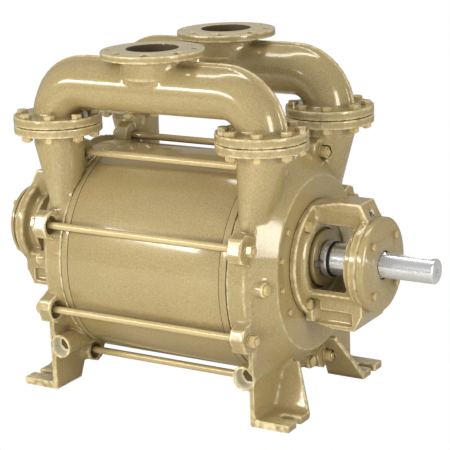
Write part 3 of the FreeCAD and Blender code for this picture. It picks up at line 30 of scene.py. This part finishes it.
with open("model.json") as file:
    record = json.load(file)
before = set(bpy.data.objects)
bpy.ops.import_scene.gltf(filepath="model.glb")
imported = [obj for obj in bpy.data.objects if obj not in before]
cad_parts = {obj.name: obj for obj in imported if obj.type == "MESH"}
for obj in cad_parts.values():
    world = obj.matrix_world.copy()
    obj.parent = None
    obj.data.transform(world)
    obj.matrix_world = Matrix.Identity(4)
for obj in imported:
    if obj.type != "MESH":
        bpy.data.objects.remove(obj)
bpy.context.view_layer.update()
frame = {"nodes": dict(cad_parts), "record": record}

MM = 0.001
STATOR = "stator"

# Places on the pump, in mm
SHAFT_AXIS = 360
BARREL_AXIS = 330
PIPE_AXIS = 782
PIPE_SIDE = 170
RISER_X = 292
JOINT_CIRCLE = 90
HEAD_SEAT = 702
NUT_SEAT = 658
ROD_CIRCLE = 286
ROD_NUT_SEAT = 300
PORT_X = 269
PORT_Z = 117
BRACKET_SEAT = 356
BRACKET_CIRCLE = 125
BRACKET_ANGLE = math.radians(50)
DRIVE_COVER_SEAT = 518
REAR_COVER_SEAT = 528
COVER_CIRCLE = 86
DRUM_FACE = 340
GLAND_SEAT = 366
GLAND_REACH = 61

PLATE_SCREWS = ((180, 36), (149, 98))

# Bores that get painted shade or a finish of their own, in mm: their radius, and where they start and end
OUTLET_RADIUS = 64.5
OUTLET_BOTTOM = 790
OUTLET_TOP = 878.5
OUTLET_FACE = 872
DUCT_RADIUS = 54
DUCT_REACH = 200
PORT_RADIUS = 25.5
PORT_START = 214
PORT_END = 250.5
PORT_SHADE_RADIUS = 17
PORT_SHADE_START = 205
PORT_SHADE_END = 225

# The size across the flats for each metric thread, and the gap round a thread in its nut, in mm
FLATS = {8: 13, 10: 16, 16: 24, 18: 27}
THREAD_GAP = 0.05


# Camera

CAMERA_PLACE = (2.1231, -3.3395, 1.4610)
CAMERA_TURN = math.radians(31.461)
CAMERA_TILT = math.radians(15.009)
CAMERA_ROLL = math.radians(-2.083)
SENSOR = 36.0
PICTURE_WIDTH = 450
FOCAL_PIXELS = 1618.8
FOCAL = FOCAL_PIXELS / PICTURE_WIDTH * SENSOR


def make_camera():
    data = bpy.data.cameras.new("camera")
    data.sensor_width = SENSOR
    data.lens = FOCAL
    data.clip_start = 0.1
    data.clip_end = 50
    camera = bpy.data.objects.new("camera", data)
    bpy.context.scene.collection.objects.link(camera)
    turn, tilt, roll = CAMERA_TURN, CAMERA_TILT, CAMERA_ROLL
    ahead = Vector((-math.sin(turn) * math.cos(tilt), math.cos(turn) * math.cos(tilt), -math.sin(tilt)))
    right = Vector((math.cos(turn), math.sin(turn), 0))
    up = right.cross(ahead)
    side = math.cos(roll) * right + math.sin(roll) * up
    top = math.cos(roll) * up - math.sin(roll) * right
    axes = Matrix((side, top, -ahead)).transposed().to_4x4()
    camera.matrix_world = Matrix.Translation(CAMERA_PLACE) @ axes
    bpy.context.scene.camera = camera


# Node helpers

def add_node(tree, kind, at=(0, 0), **settings):
    made = tree.nodes.new(kind)
    made.location = at
    for name, setting in settings.items():
        setattr(made, name, setting)
    return made


def set_inputs(made, **values):
    for name, setting in values.items():
        made.inputs[name.replace("_", " ")].default_value = setting
    return made


def new_group(name, inputs, outputs):
    """An empty node group with float inputs and named outputs."""
    tree = bpy.data.node_groups.new(name, "ShaderNodeTree")
    for title, default in inputs:
        socket = tree.interface.new_socket(name=title, in_out="INPUT", socket_type="NodeSocketFloat")
        socket.default_value = default
    for title, kind in outputs:
        tree.interface.new_socket(name=title, in_out="OUTPUT", socket_type=kind)
    start = add_node(tree, "NodeGroupInput", (-900, 0))
    end = add_node(tree, "NodeGroupOutput", (900, 0))
    return tree, start, end


def noise(tree, vector, scale, detail=3, roughness=0.5):
    made = add_node(tree, "ShaderNodeTexNoise")
    set_inputs(made, Detail=detail, Roughness=roughness)
    tree.links.new(vector, made.inputs["Vector"])
    if isinstance(scale, (int, float)):
        made.inputs["Scale"].default_value = scale
    else:
        tree.links.new(scale, made.inputs["Scale"])
    return made.outputs["Fac"]


def maths(tree, operation, first, second=None, clamp=False):
    made = add_node(tree, "ShaderNodeMath", operation=operation, use_clamp=clamp)
    for socket, given in zip(made.inputs, (first, second)):
        if isinstance(given, (int, float)):
            socket.default_value = given
        elif given is not None:
            tree.links.new(given, socket)
    return made.outputs[0]


def blend_colours(tree, mask, first, second):
    made = add_node(tree, "ShaderNodeMix", data_type="RGBA")
    for socket, given in ((made.inputs[0], mask), (made.inputs[6], first), (made.inputs[7], second)):
        if isinstance(given, (int, float)):
            socket.default_value = given
        elif isinstance(given, tuple):
            socket.default_value = (*given, 1)
        else:
            tree.links.new(given, socket)
    return made.outputs[2]


def remap(tree, value, from_low, from_high, to_low=0.0, to_high=1.0):
    made = add_node(tree, "ShaderNodeMapRange", clamp=True)
    made.inputs["From Min"].default_value = from_low
    made.inputs["From Max"].default_value = from_high
    made.inputs["To Min"].default_value = to_low
    made.inputs["To Max"].default_value = to_high
    tree.links.new(value, made.inputs["Value"])
    return made.outputs[0]


# Effects that several finishes share

def make_cast_skin():
    """The skin of a sand casting under enamel: fine peel, slow waves, a speckle and a broad tint."""
    tree, start, end = new_group("cast_skin", [("Peel", 1.0), ("Waves", 1.0), ("Grain Size", 1.0)],
                                 [("Height", "NodeSocketFloat"), ("Speckle", "NodeSocketFloat"),
                                  ("Tint", "NodeSocketFloat")])
    place = add_node(tree, "ShaderNodeTexCoord").outputs["Object"]
    fine_scale = maths(tree, "DIVIDE", 380, start.outputs["Grain Size"])
    peel = maths(tree, "MULTIPLY", noise(tree, place, fine_scale, detail=2), start.outputs["Peel"])
    waves = maths(tree, "MULTIPLY", noise(tree, place, scale=38, detail=2), start.outputs["Waves"])
    tree.links.new(maths(tree, "ADD", peel, waves), end.inputs["Height"])
    grains = noise(tree, place, scale=300, detail=4, roughness=0.85)
    tree.links.new(remap(tree, grains, 0.42, 0.58), end.inputs["Speckle"])
    tree.links.new(noise(tree, place, scale=6.5, detail=4, roughness=0.6), end.inputs["Tint"])
    return tree


def make_edge_highlight_and_corner_shade():
    """Masks for a painted highlight on outer edges, and for painted shade in inner corners."""
    tree, start, end = new_group("edge_highlight_and_corner_shade",
                                 [("Edge Start", 0.505), ("Edge End", 0.54), ("Shade Reach", 0.02)],
                                 [("Edges", "NodeSocketFloat"), ("Corner Shade", "NodeSocketFloat")])
    place = add_node(tree, "ShaderNodeTexCoord").outputs["Object"]
    # painted highlight: pointiness picks the outer edges, broken up by noise
    point = add_node(tree, "ShaderNodeNewGeometry").outputs["Pointiness"]
    made = add_node(tree, "ShaderNodeMapRange", clamp=True)
    tree.links.new(point, made.inputs["Value"])
    tree.links.new(start.outputs["Edge Start"], made.inputs["From Min"])
    tree.links.new(start.outputs["Edge End"], made.inputs["From Max"])
    broken = remap(tree, noise(tree, place, scale=60, detail=4), 0.3, 0.6)
    tree.links.new(maths(tree, "MULTIPLY", made.outputs[0], broken), end.inputs["Edges"])
    # painted shade: ambient occlusion picks the inner corners
    shade = add_node(tree, "ShaderNodeAmbientOcclusion", samples=4)
    tree.links.new(start.outputs["Shade Reach"], shade.inputs["Distance"])
    tree.links.new(maths(tree, "SUBTRACT", 1, shade.outputs["AO"], True), end.inputs["Corner Shade"])
    return tree


def make_tool_marks():
    """Fine rings that a lathe leaves round the shaft's axis, and streaks along it."""
    tree, start, end = new_group("tool_marks", [("Rings", 900.0)],
                                 [("Height", "NodeSocketFloat"), ("Streaks", "NodeSocketFloat")])
    place = add_node(tree, "ShaderNodeTexCoord").outputs["Object"]
    along = add_node(tree, "ShaderNodeSeparateXYZ")
    tree.links.new(place, along.inputs[0])
    lines = add_node(tree, "ShaderNodeTexNoise", noise_dimensions="1D")
    set_inputs(lines, Detail=3, Roughness=0.7)
    tree.links.new(along.outputs[0], lines.inputs["W"])
    tree.links.new(start.outputs["Rings"], lines.inputs["Scale"])
    tree.links.new(lines.outputs[0], end.inputs["Height"])
    drawn = add_node(tree, "ShaderNodeMapping")
    drawn.inputs["Scale"].default_value = (0.06, 1, 1)
    tree.links.new(place, drawn.inputs["Vector"])
    tree.links.new(noise(tree, drawn.outputs[0], scale=260, roughness=0.6), end.inputs["Streaks"])
    return tree


CAST_SKIN = make_cast_skin()
EDGE_HIGHLIGHT_AND_CORNER_SHADE = make_edge_highlight_and_corner_shade()
TOOL_MARKS = make_tool_marks()


def place_group(tree, group, **values):
    made = add_node(tree, "ShaderNodeGroup")
    made.node_tree = group
    return set_inputs(made, **values)


# Finishes

def new_finish(name):
    finish = bpy.data.materials.new(name)
    finish.use_nodes = True
    tree = finish.node_tree
    shader = tree.nodes["Principled BSDF"]
    return finish, tree, shader


def bump(tree, shader, height, strength, distance):
    made = add_node(tree, "ShaderNodeBump")
    set_inputs(made, Strength=strength, Distance=distance)
    tree.links.new(height, made.inputs["Height"])
    tree.links.new(made.outputs[0], shader.inputs["Normal"])


def make_enamel(name, colour, peel, waves, roughness, grain=0.62, edge_highlight=True):
    """Glossy enamel over cast iron, with a painted highlight on outer edges and painted shade in inner
    corners.
    """
    finish, tree, shader = new_finish(name)
    skin = place_group(tree, CAST_SKIN, Peel=peel, Waves=waves, Grain_Size=1.0)
    light_and_shade = place_group(tree, EDGE_HIGHLIGHT_AND_CORNER_SHADE)
    body = blend_colours(tree, remap(tree, skin.outputs["Tint"], 0.35, 0.7), colour,
                         tuple(0.9 * part for part in colour))
    grained = blend_colours(tree, maths(tree, "MULTIPLY", skin.outputs["Speckle"], grain), body, KHAKI_GRAIN)
    # painted shade: inner corners darken to a deep brown
    with_painted_light = blend_colours(tree, remap(tree, light_and_shade.outputs["Corner Shade"], 0.2, 0.9, 0.0, 0.9), grained, KHAKI_CORNER_SHADE)
    # painted highlight: outer edges lighten to a pale cream
    if edge_highlight:
        with_painted_light = blend_colours(tree, maths(tree, "MULTIPLY", light_and_shade.outputs["Edges"], 0.85), with_painted_light, KHAKI_EDGE_HIGHLIGHT)
    tree.links.new(with_painted_light, shader.inputs["Base Color"])
    rough = remap(tree, skin.outputs["Tint"], 0.3, 0.7, roughness - 0.04, roughness + 0.06)
    tree.links.new(rough, shader.inputs["Roughness"])
    set_inputs(shader, Specular_Tint=CREAM, Coat_Tint=CREAM, Coat_Weight=1.0, Coat_Roughness=0.12, IOR=1.52)
    bump(tree, shader, skin.outputs["Height"], strength=0.6, distance=0.0006)
    return finish


def make_metal(name, colour, roughness, rings, strength):
    finish, tree, shader = new_finish(name)
    marks = place_group(tree, TOOL_MARKS, Rings=rings)
    tone = blend_colours(tree, remap(tree, marks.outputs["Streaks"], 0.3, 0.7), colour,
                         tuple(0.8 * part for part in colour))
    tree.links.new(tone, shader.inputs["Base Color"])
    rough = remap(tree, marks.outputs["Streaks"], 0.3, 0.75, roughness, roughness + 0.14)
    tree.links.new(rough, shader.inputs["Roughness"])
    set_inputs(shader, Metallic=0.85)
    bump(tree, shader, marks.outputs["Height"], strength, distance=0.0002)
    return finish


def make_plain(name, colour, roughness, grain):
    """Rubber, gasket board, plastics and the dark painted shade in bores: a soft mottle and a fine grain."""
    finish, tree, shader = new_finish(name)
    skin = place_group(tree, CAST_SKIN, Peel=0.6, Waves=0.2, Grain_Size=grain)
    tone = blend_colours(tree, skin.outputs["Tint"], colour, tuple(0.7 * part for part in colour))
    tree.links.new(tone, shader.inputs["Base Color"])
    tree.links.new(remap(tree, skin.outputs["Speckle"], 0, 1, roughness, roughness + 0.12),
                   shader.inputs["Roughness"])
    bump(tree, shader, skin.outputs["Height"], strength=0.4, distance=0.0003)
    return finish


KHAKI = (0.468, 0.392, 0.236)
# the colour of the painted highlight on outer edges
KHAKI_EDGE_HIGHLIGHT = (0.90, 0.84, 0.64)
KHAKI_GRAIN = (0.25, 0.20, 0.105)
# the colour of the painted shade in inner corners
KHAKI_CORNER_SHADE = (0.10, 0.062, 0.02)
KHAKI_FACE = (0.78, 0.70, 0.48)
# a lighter copy of KHAKI, a painted highlight for the enamelled fasteners
KHAKI_FASTENER_HIGHLIGHT = (0.68, 0.575, 0.35)
CREAM = (1.0, 0.93, 0.74, 1.0)

FINISHES = {
    "cast_enamel": make_enamel("cast_enamel", KHAKI, peel=0.5, waves=1.7, roughness=0.24),
    "pale_enamel": make_enamel("pale_enamel", KHAKI_FACE, peel=0.8, waves=0.3, roughness=0.33,
                               edge_highlight=False),
    "enamel": make_enamel("enamel", KHAKI, peel=0.5, waves=0.4, roughness=0.3, edge_highlight=False),
    # painted highlight: the fasteners get the lighter copy of the khaki
    "painted_fastener": make_enamel("painted_fastener", KHAKI_FASTENER_HIGHLIGHT, peel=0.2, waves=0.0, roughness=0.2,
                                    grain=0.3, edge_highlight=False),
    # painted shade: dark brown for the insides of the outlets, the ducts and the port bottoms
    "painted_bore_shade": make_plain("painted_bore_shade", (0.13, 0.088, 0.036), roughness=0.65, grain=1.0),
    "port_thread": make_plain("port_thread", (0.86, 0.79, 0.58), roughness=0.4, grain=1.0),
    "bright_steel": make_metal("bright_steel", (0.97, 0.98, 1.0), roughness=0.2, rings=900, strength=0.25),
    "steel": make_metal("steel", (0.42, 0.40, 0.37), roughness=0.35, rings=500, strength=0.3),
    "bronze": make_metal("bronze", (0.55, 0.40, 0.20), roughness=0.4, rings=200, strength=0.3),
    "brass": make_metal("brass", (0.72, 0.55, 0.24), roughness=0.25, rings=700, strength=0.2),
    "rubber": make_plain("rubber", (0.018, 0.017, 0.016), roughness=0.5, grain=0.6),
    "seal_face": make_plain("seal_face", (0.06, 0.06, 0.065), roughness=0.25, grain=0.4),
    "gasket": make_plain("gasket", (0.09, 0.075, 0.05), roughness=0.6, grain=0.5),
    "valve": make_plain("valve", (0.75, 0.74, 0.7), roughness=0.4, grain=0.8),
}
SLOTS = {entry["node"]: entry["material_slot"] for entry in frame["record"]["subparts"]}
BODIES = {node: body for body, nodes in frame["record"]["behaviour"]["bodies"].items() for node in nodes}


def dress(piece, slot):
    piece.data.materials.clear()
    piece.data.materials.append(FINISHES[slot])


# Pieces that stand for the CAD solids

VOXEL = 0.003
FILL_ROUNDS = 12
BLUR_ROUNDS = 1
MOST_TRIANGLES = 190000
FLAT_ANGLE = math.radians(1.0)
BREAK_ANGLE = math.radians(30)
BROKEN_SMOOTH_ANGLE = math.radians(35)
TURNED_SMOOTH_ANGLE = math.radians(32)


def copy_of(node, name):
    """A merged copy of a node's mesh."""
    shape = bmesh.new()
    shape.from_mesh(frame["nodes"][node].data)
    bmesh.ops.remove_doubles(shape, verts=shape.verts, dist=0.00001)
    mesh = bpy.data.meshes.new(name)
    shape.to_mesh(mesh)
    shape.free()
    piece = bpy.data.objects.new(name, mesh)
    bpy.context.scene.collection.objects.link(piece)
    return piece


def settle(piece):
    """Turns the piece's modifiers into its mesh."""
    graph = bpy.context.evaluated_depsgraph_get()
    made = bpy.data.meshes.new_from_object(piece.evaluated_get(graph))
    piece.modifiers.clear()
    piece.data = made


def stand_for(piece, node, finish=None):
    for face in piece.data.polygons:
        face.use_smooth = True
    dress(piece, finish or SLOTS[node])
    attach(piece, BODIES[node])
    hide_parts(node)


def fill_corners(mesh, rounds):
    """Moves points outwards only, so inner corners fill up to a cast fillet and edges stay."""
    count = len(mesh.vertices)
    points = np.empty(count * 3)
    mesh.vertices.foreach_get("co", points)
    points = points.reshape(-1, 3)
    pairs = np.empty(len(mesh.edges) * 2, dtype=np.int64)
    mesh.edges.foreach_get("vertices", pairs)
    one, two = pairs.reshape(-1, 2).T
    links = np.bincount(one, minlength=count) + np.bincount(two, minlength=count)
    normals = np.empty(count * 3)
    mesh.vertex_normals.foreach_get("vector", normals)
    normals = normals.reshape(-1, 3)
    for _ in range(rounds):
        middle = np.empty_like(points)
        for axis in range(3):
            total = np.bincount(one, points[two, axis], count) + np.bincount(two, points[one, axis], count)
            middle[:, axis] = total / np.maximum(links, 1)
        out = ((middle - points) * normals).sum(axis=1)
        points += normals * np.maximum(out, 0)[:, None]
    mesh.vertices.foreach_set("co", points.ravel())
    mesh.update()


def soften(node):
    """A casting with soft edges and filled corners, as it comes from a sand mould."""
    piece = copy_of(node, node + "_casting")
    skin = piece.modifiers.new("skin", "REMESH")
    skin.mode = "VOXEL"
    skin.voxel_size = VOXEL
    skin.adaptivity = 0
    settle(piece)
    fill_corners(piece.data, FILL_ROUNDS)
    blur = piece.modifiers.new("blur", "SMOOTH")
    blur.factor = 0.5
    blur.iterations = BLUR_ROUNDS
    settle(piece)
    count = 2 * len(piece.data.polygons)
    if count > MOST_TRIANGLES:
        thin = piece.modifiers.new("thin", "DECIMATE")
        thin.ratio = MOST_TRIANGLES / count
        settle(piece)
    stand_for(piece, node, "cast_enamel")
    return piece


def middles(mesh):
    """The middle of every face, as rows."""
    spots = np.empty(len(mesh.polygons) * 3)
    mesh.polygons.foreach_get("center", spots)
    return spots.reshape(-1, 3)


def facings(mesh):
    """The direction that every face looks in, as rows."""
    rows = np.empty(len(mesh.polygons) * 3)
    mesh.polygons.foreach_get("normal", rows)
    return rows.reshape(-1, 3)


def line_with(piece, finish, inside):
    """Gives the faces that a mask picks a second finish."""
    piece.data.materials.append(FINISHES[finish])
    number = len(piece.data.materials) - 1
    rows = np.zeros(len(piece.data.polygons), dtype=np.int32)
    piece.data.polygons.foreach_get("material_index", rows)
    rows[inside] = number
    piece.data.polygons.foreach_set("material_index", rows)
    piece.data.update()


def line_manifold(piece, side):
    """The duct and the outlet get a dark brown painted shade inside, and the outlet's face is paler."""
    x, y, z = middles(piece.data).T / MM
    across = y - side * PIPE_SIDE
    face_x, face_y, face_z = facings(piece.data).T
    inward = x * face_x + across * face_y < 0
    # painted shade: the insides of the outlet and the duct turn dark brown
    outlet = (np.hypot(x, across) < OUTLET_RADIUS) & (z > OUTLET_BOTTOM) & (z < OUTLET_TOP) & inward
    run = (np.abs(x) < DUCT_REACH) & (np.hypot(across, z - PIPE_AXIS) < DUCT_RADIUS)
    line_with(piece, "painted_bore_shade", outlet | run)
    line_with(piece, "pale_enamel", (z > OUTLET_FACE) & (face_z > 0.8))


def line_ports(piece, end):
    """The side ports are pale inside, with a dark painted shade at the bottom of the bore."""
    x, y, z = middles(piece.data).T / MM
    off_axis = np.hypot(x - end * PORT_X, z - PORT_Z)
    bore = (off_axis < PORT_RADIUS) & (np.abs(y) > PORT_START) & (np.abs(y) < PORT_END)
    line_with(piece, "port_thread", bore)
    # painted shade: a dark patch at the bottom of each port
    port_shade = (off_axis < PORT_SHADE_RADIUS) & (np.abs(y) > PORT_SHADE_START) & (np.abs(y) < PORT_SHADE_END)
    line_with(piece, "painted_bore_shade", port_shade)


def break_edges(node, width):
    """A machined or forged piece with its sharp edges broken."""
    piece = copy_of(node, node + "_finished")
    shape = bmesh.new()
    shape.from_mesh(piece.data)
    bmesh.ops.dissolve_limit(shape, angle_limit=FLAT_ANGLE, verts=shape.verts, edges=shape.edges)
    sharp = [edge for edge in shape.edges if edge.is_manifold and edge.calc_face_angle(0) > BREAK_ANGLE]
    bmesh.ops.bevel(shape, geom=sharp, offset=width, offset_type="OFFSET", segments=2, profile=0.5,
                    affect="EDGES", material=-1, clamp_overlap=True)
    shape.to_mesh(piece.data)
    shape.free()
    stand_for(piece, node)
    piece.data.set_sharp_from_angle(angle=BROKEN_SMOOTH_ANGLE)


# Turned and hexagonal pieces

def spun(points, steps=48):
    """A turned solid: (radius, height) pairs in mm, spun about Z."""
    shape = bmesh.new()
    corners = [shape.verts.new((radius * MM, 0, height * MM)) for radius, height in points]
    edges = [shape.edges.new(pair) for pair in zip(corners, corners[1:])]
    bmesh.ops.spin(shape, geom=corners + edges, cent=(0, 0, 0), axis=(0, 0, 1), angle=math.tau, steps=steps,
                   use_merge=True, use_duplicate=False)
    bmesh.ops.remove_doubles(shape, verts=shape.verts, dist=0.000005)
    bmesh.ops.recalc_face_normals(shape, faces=shape.faces)
    return shape


def to_object(shape, name):
    mesh = bpy.data.meshes.new(name)
    shape.to_mesh(mesh)
    shape.free()
    piece = bpy.data.objects.new(name, mesh)
    bpy.context.scene.collection.objects.link(piece)
    return piece


def hexagon(flats, height, hole=0):
    """A hexagon head with its corners turned down to a cone, or a nut, turned on both faces."""
    reach = flats / math.sqrt(3)
    outer = reach + 0.5
    prism = bmesh.new()
    bmesh.ops.create_cone(prism, cap_ends=True, segments=6, radius1=reach * MM, radius2=reach * MM,
                          depth=height * MM)
    bmesh.ops.translate(prism, verts=prism.verts, vec=(0, 0, height / 2 * MM))
    flat = flats / 2 * 0.95
    drop = (outer - flat) * math.tan(math.radians(30))
    outline = [(hole, height), (flat, height), (outer, height - drop)]
    if hole:
        outline += [(outer, drop), (flat, 0), (hole, 0), (hole, height)]
    else:
        outline += [(outer, 0), (0, 0)]
    body = to_object(prism, "hexagon")
    cone = to_object(spun(outline, 72), "hexagon_cone")
    trim = body.modifiers.new("trim", "BOOLEAN")
    trim.operation = "INTERSECT"
    trim.solver = "EXACT"
    trim.object = cone
    settle(body)
    shape = bmesh.new()
    shape.from_mesh(body.data)
    for used in (body, cone):
        bpy.data.objects.remove(used)
    return shape


def merged(*shapes):
    """Several shapes in one."""
    whole = bmesh.new()
    for shape in shapes:
        mesh = bpy.data.meshes.new("passing")
        shape.to_mesh(mesh)
        shape.free()
        whole.from_mesh(mesh)
        bpy.data.meshes.remove(mesh)
    return whole


def placed(shape, places):
    """Copies of a shape, one for each (point in mm, outward direction, corner direction)."""
    copies = []
    for point, out, corner in places:
        out = Vector(out).normalized()
        corner = Vector(corner).normalized()
        axes = Matrix((corner, out.cross(corner), out)).transposed().to_4x4()
        copy = shape.copy()
        bmesh.ops.transform(copy, matrix=Matrix.Translation(Vector(point) * MM) @ axes, verts=copy.verts)
        copies.append(copy)
    shape.free()
    return merged(*copies)


def stand_in(shape, node):
    piece = to_object(shape, node + "_finished")
    stand_for(piece, node)
    piece.data.set_sharp_from_angle(angle=TURNED_SMOOTH_ANGLE)


def eight_angles():
    """Eight angles round a circle, none of them on its axes."""
    start = math.pi / 8
    return [start + math.tau * number / 8 for number in range(8)]


def joint_places(height, out):
    """The 32 bolt places of the four flanged joints, at one height."""
    places = []
    for x in (-RISER_X, RISER_X):
        for y in (-PIPE_SIDE, PIPE_SIDE):
            for angle in eight_angles():
                ray = Vector((math.cos(angle), math.sin(angle), 0))
                places.append((Vector((x, y, height)) + JOINT_CIRCLE * ray, (0, 0, out), ray))
    return places


def rod_places(reach, ends=(-1, 1)):
    """The places of the eight tie rods on the planes at a reach from the middle."""
    places = []
    for end in ends:
        for angle in eight_angles():
            ray = Vector((0, math.cos(angle), math.sin(angle)))
            places.append((Vector((end * reach, 0, BARREL_AXIS)) + ROD_CIRCLE * ray, (end, 0, 0), ray))
    return places


def end_places(reach, spots, ends=(-1, 1)):
    """Places on faces that look along the shaft, for (across, up from the shaft) pairs."""
    return [((end * reach, across, SHAFT_AXIS + up), (end, 0, 0), (0, 1, 0))
            for end in ends for across, up in spots]


def four(across, up):
    return [(a * across, b * up) for a in (-1, 1) for b in (-1, 1)]


def make_bolt(thread, head, length):
    """A hexagon head on a plain shank that runs down from it."""
    radius = thread / 2
    shank = spun([(0, 0), (radius, 0), (radius, -length), (0, -length)], 24)
    return merged(hexagon(FLATS[thread], head), shank)


def make_nut(thread, height):
    return hexagon(FLATS[thread], height, thread / 2 + THREAD_GAP)


def make_joint_fasteners():
    radius, length = 8, 60
    shank = spun([(0, 0), (radius, 0), (radius, 1.5 - length), (radius - 1, -length), (0, -length)], 32)
    bolt = merged(hexagon(FLATS[16], height=10), shank)
    stand_in(placed(bolt, joint_places(HEAD_SEAT, 1)), "manifold_bolts")
    stand_in(placed(make_nut(16, height=13), joint_places(NUT_SEAT, -1)), "manifold_nuts")


def make_tie_rods():
    stand_in(placed(make_nut(18, height=16), rod_places(ROD_NUT_SEAT)), "tie_rod_nuts")
    radius, half = 9, 320
    rod = spun([(0, -half), (radius - 1, -half), (radius, 1 - half), (radius, half - 1), (radius - 1, half),
                (0, half)])
    stand_in(placed(rod, rod_places(0, (1,))), "tie_rods")


def make_end_screws():
    across, up = BRACKET_CIRCLE * math.cos(BRACKET_ANGLE), BRACKET_CIRCLE * math.sin(BRACKET_ANGLE)
    bolt = make_bolt(16, head=10, length=37)
    stand_in(placed(bolt, end_places(BRACKET_SEAT, four(across, up))), "bracket_bolts")
    corner = COVER_CIRCLE * math.sqrt(0.5)
    spots = four(corner, corner)
    places = end_places(DRIVE_COVER_SEAT, spots, (1,)) + end_places(REAR_COVER_SEAT, spots, (-1,))
    stand_in(placed(make_bolt(10, head=7, length=35), places), "bearing_cover_screws")
    places = end_places(DRUM_FACE, [spot for pair in PLATE_SCREWS for spot in four(*pair)])
    stand_in(placed(make_bolt(8, head=6, length=113), places), "port_plate_screws")
    places = end_places(GLAND_SEAT, [(-GLAND_REACH, 0), (GLAND_REACH, 0)])
    stand_in(placed(make_nut(10, height=8), places), "gland_nuts")


def make_gusset_skins():
    """Closes the relief that each lower rod nut needs in its gusset, flush with the gusset's face."""
    size = Vector((36, 3, 44))
    lean = math.radians(25)
    sunk = 1.3
    shape = bmesh.new()
    for end in (-1, 1):
        for side in (-1, 1):
            skin = bmesh.new()
            bmesh.ops.create_cube(skin, size=1)
            bmesh.ops.scale(skin, vec=size * MM, verts=skin.verts)
            turned = Matrix.Rotation(side * lean, 3, "X")
            bmesh.ops.rotate(skin, cent=(0, 0, 0), matrix=turned, verts=skin.verts)
            middle = Vector((end * 314, side * (126.5 - sunk * 0.905), 72 - sunk * 0.425))
            bmesh.ops.translate(skin, vec=middle * MM, verts=skin.verts)
            shape = merged(shape, skin)
    piece = to_object(shape, "gusset_skins")
    dress(piece, "enamel")
    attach(piece, STATOR)


CASTINGS = ("drive_end_cover", "rear_end_cover", "front_manifold", "back_manifold", "drive_bearing_bracket",
            "rear_bearing_bracket")
BROKEN = {
    "casing": 0.0012, "drive_bearing_cover": 0.0012, "rear_bearing_cover": 0.0012, "tie_rod_washers": 0.0005,
    "pipe_plugs": 0.001, "seal_glands": 0.001, "shaft": 0.0008, "shaft_sleeves": 0.0005,
    "seal_drive_collars": 0.0008, "drive_port_plate": 0.0006, "rear_port_plate": 0.0006,
}

make_camera()
CAST = {node: soften(node) for node in CASTINGS}
for side, node in ((-1, "front_manifold"), (1, "back_manifold")):
    line_manifold(CAST[node], side)
for end, node in ((-1, "rear_end_cover"), (1, "drive_end_cover")):
    line_ports(CAST[node], end)
for node, width in BROKEN.items():
    break_edges(node, width)
make_joint_fasteners()
make_tie_rods()
make_end_screws()
make_gusset_skins()
for node, piece in frame["nodes"].items():
    dress(piece, SLOTS[node])


# Floor, light and background

MIDDLE = (0, 0, 0.4)


def make_floor():
    """A pale floor that throws light back up, and is plain white to the camera."""
    shape = bmesh.new()
    bmesh.ops.create_grid(shape, x_segments=1, y_segments=1, size=12)
    mesh = bpy.data.meshes.new("floor")
    shape.to_mesh(mesh)
    shape.free()
    floor = bpy.data.objects.new("floor", mesh)
    bpy.context.scene.collection.objects.link(floor)
    finish, tree, shader = new_finish("floor")
    path = add_node(tree, "ShaderNodeLightPath")
    grain = noise(tree, add_node(tree, "ShaderNodeTexCoord").outputs["Object"], 3)
    pale = blend_colours(tree, grain, (0.70, 0.68, 0.63), (0.74, 0.72, 0.67))
    tree.links.new(pale, shader.inputs["Base Color"])
    set_inputs(shader, Roughness=0.9)
    white = add_node(tree, "ShaderNodeEmission")
    set_inputs(white, Color=(1, 1, 1, 1), Strength=1.0)
    blend = add_node(tree, "ShaderNodeMixShader")
    tree.links.new(path.outputs["Is Camera Ray"], blend.inputs[0])
    tree.links.new(shader.outputs[0], blend.inputs[1])
    tree.links.new(white.outputs[0], blend.inputs[2])
    tree.links.new(blend.outputs[0], tree.nodes["Material Output"].inputs["Surface"])
    mesh.materials.append(finish)


def make_world():
    world = bpy.data.worlds.new("studio")
    bpy.context.scene.world = world
    world.use_nodes = True
    tree = world.node_tree
    backing = tree.nodes["Background"]
    path = add_node(tree, "ShaderNodeLightPath")
    strength = maths(tree, "MAXIMUM", path.outputs["Is Camera Ray"], 0.4)
    backing.inputs["Color"].default_value = (1, 0.99, 0.96, 1)
    tree.links.new(strength, backing.inputs["Strength"])


def add_lamp(name, place, size, power):
    """An area lamp that looks at the middle of the pump."""
    data = bpy.data.lights.new(name, "AREA")
    data.shape = "RECTANGLE"
    data.size, data.size_y = size
    data.energy = power
    lamp = bpy.data.objects.new(name, data)
    lamp.location = place
    lamp.rotation_euler = (Vector(MIDDLE) - Vector(place)).to_track_quat("-Z", "Y").to_euler()
    bpy.context.scene.collection.objects.link(lamp)
    return lamp


make_floor()
make_world()
add_lamp("front_box", place=(-1.5, -2.6, 1.5), size=(2.0, 0.34), power=43)
low_fill = add_lamp("low_fill", place=(0.6, -3.0, 0.35), size=(2.6, 0.6), power=40)
low_fill.visible_glossy = False
add_lamp("top_strip", place=(-0.3, 0.3, 2.6), size=(2.2, 0.3), power=18)
add_lamp("end_window", place=(3.2, -0.9, 1.2), size=(0.8, 1.5), power=38)

view = bpy.context.scene.view_settings
view.view_transform = "Standard"
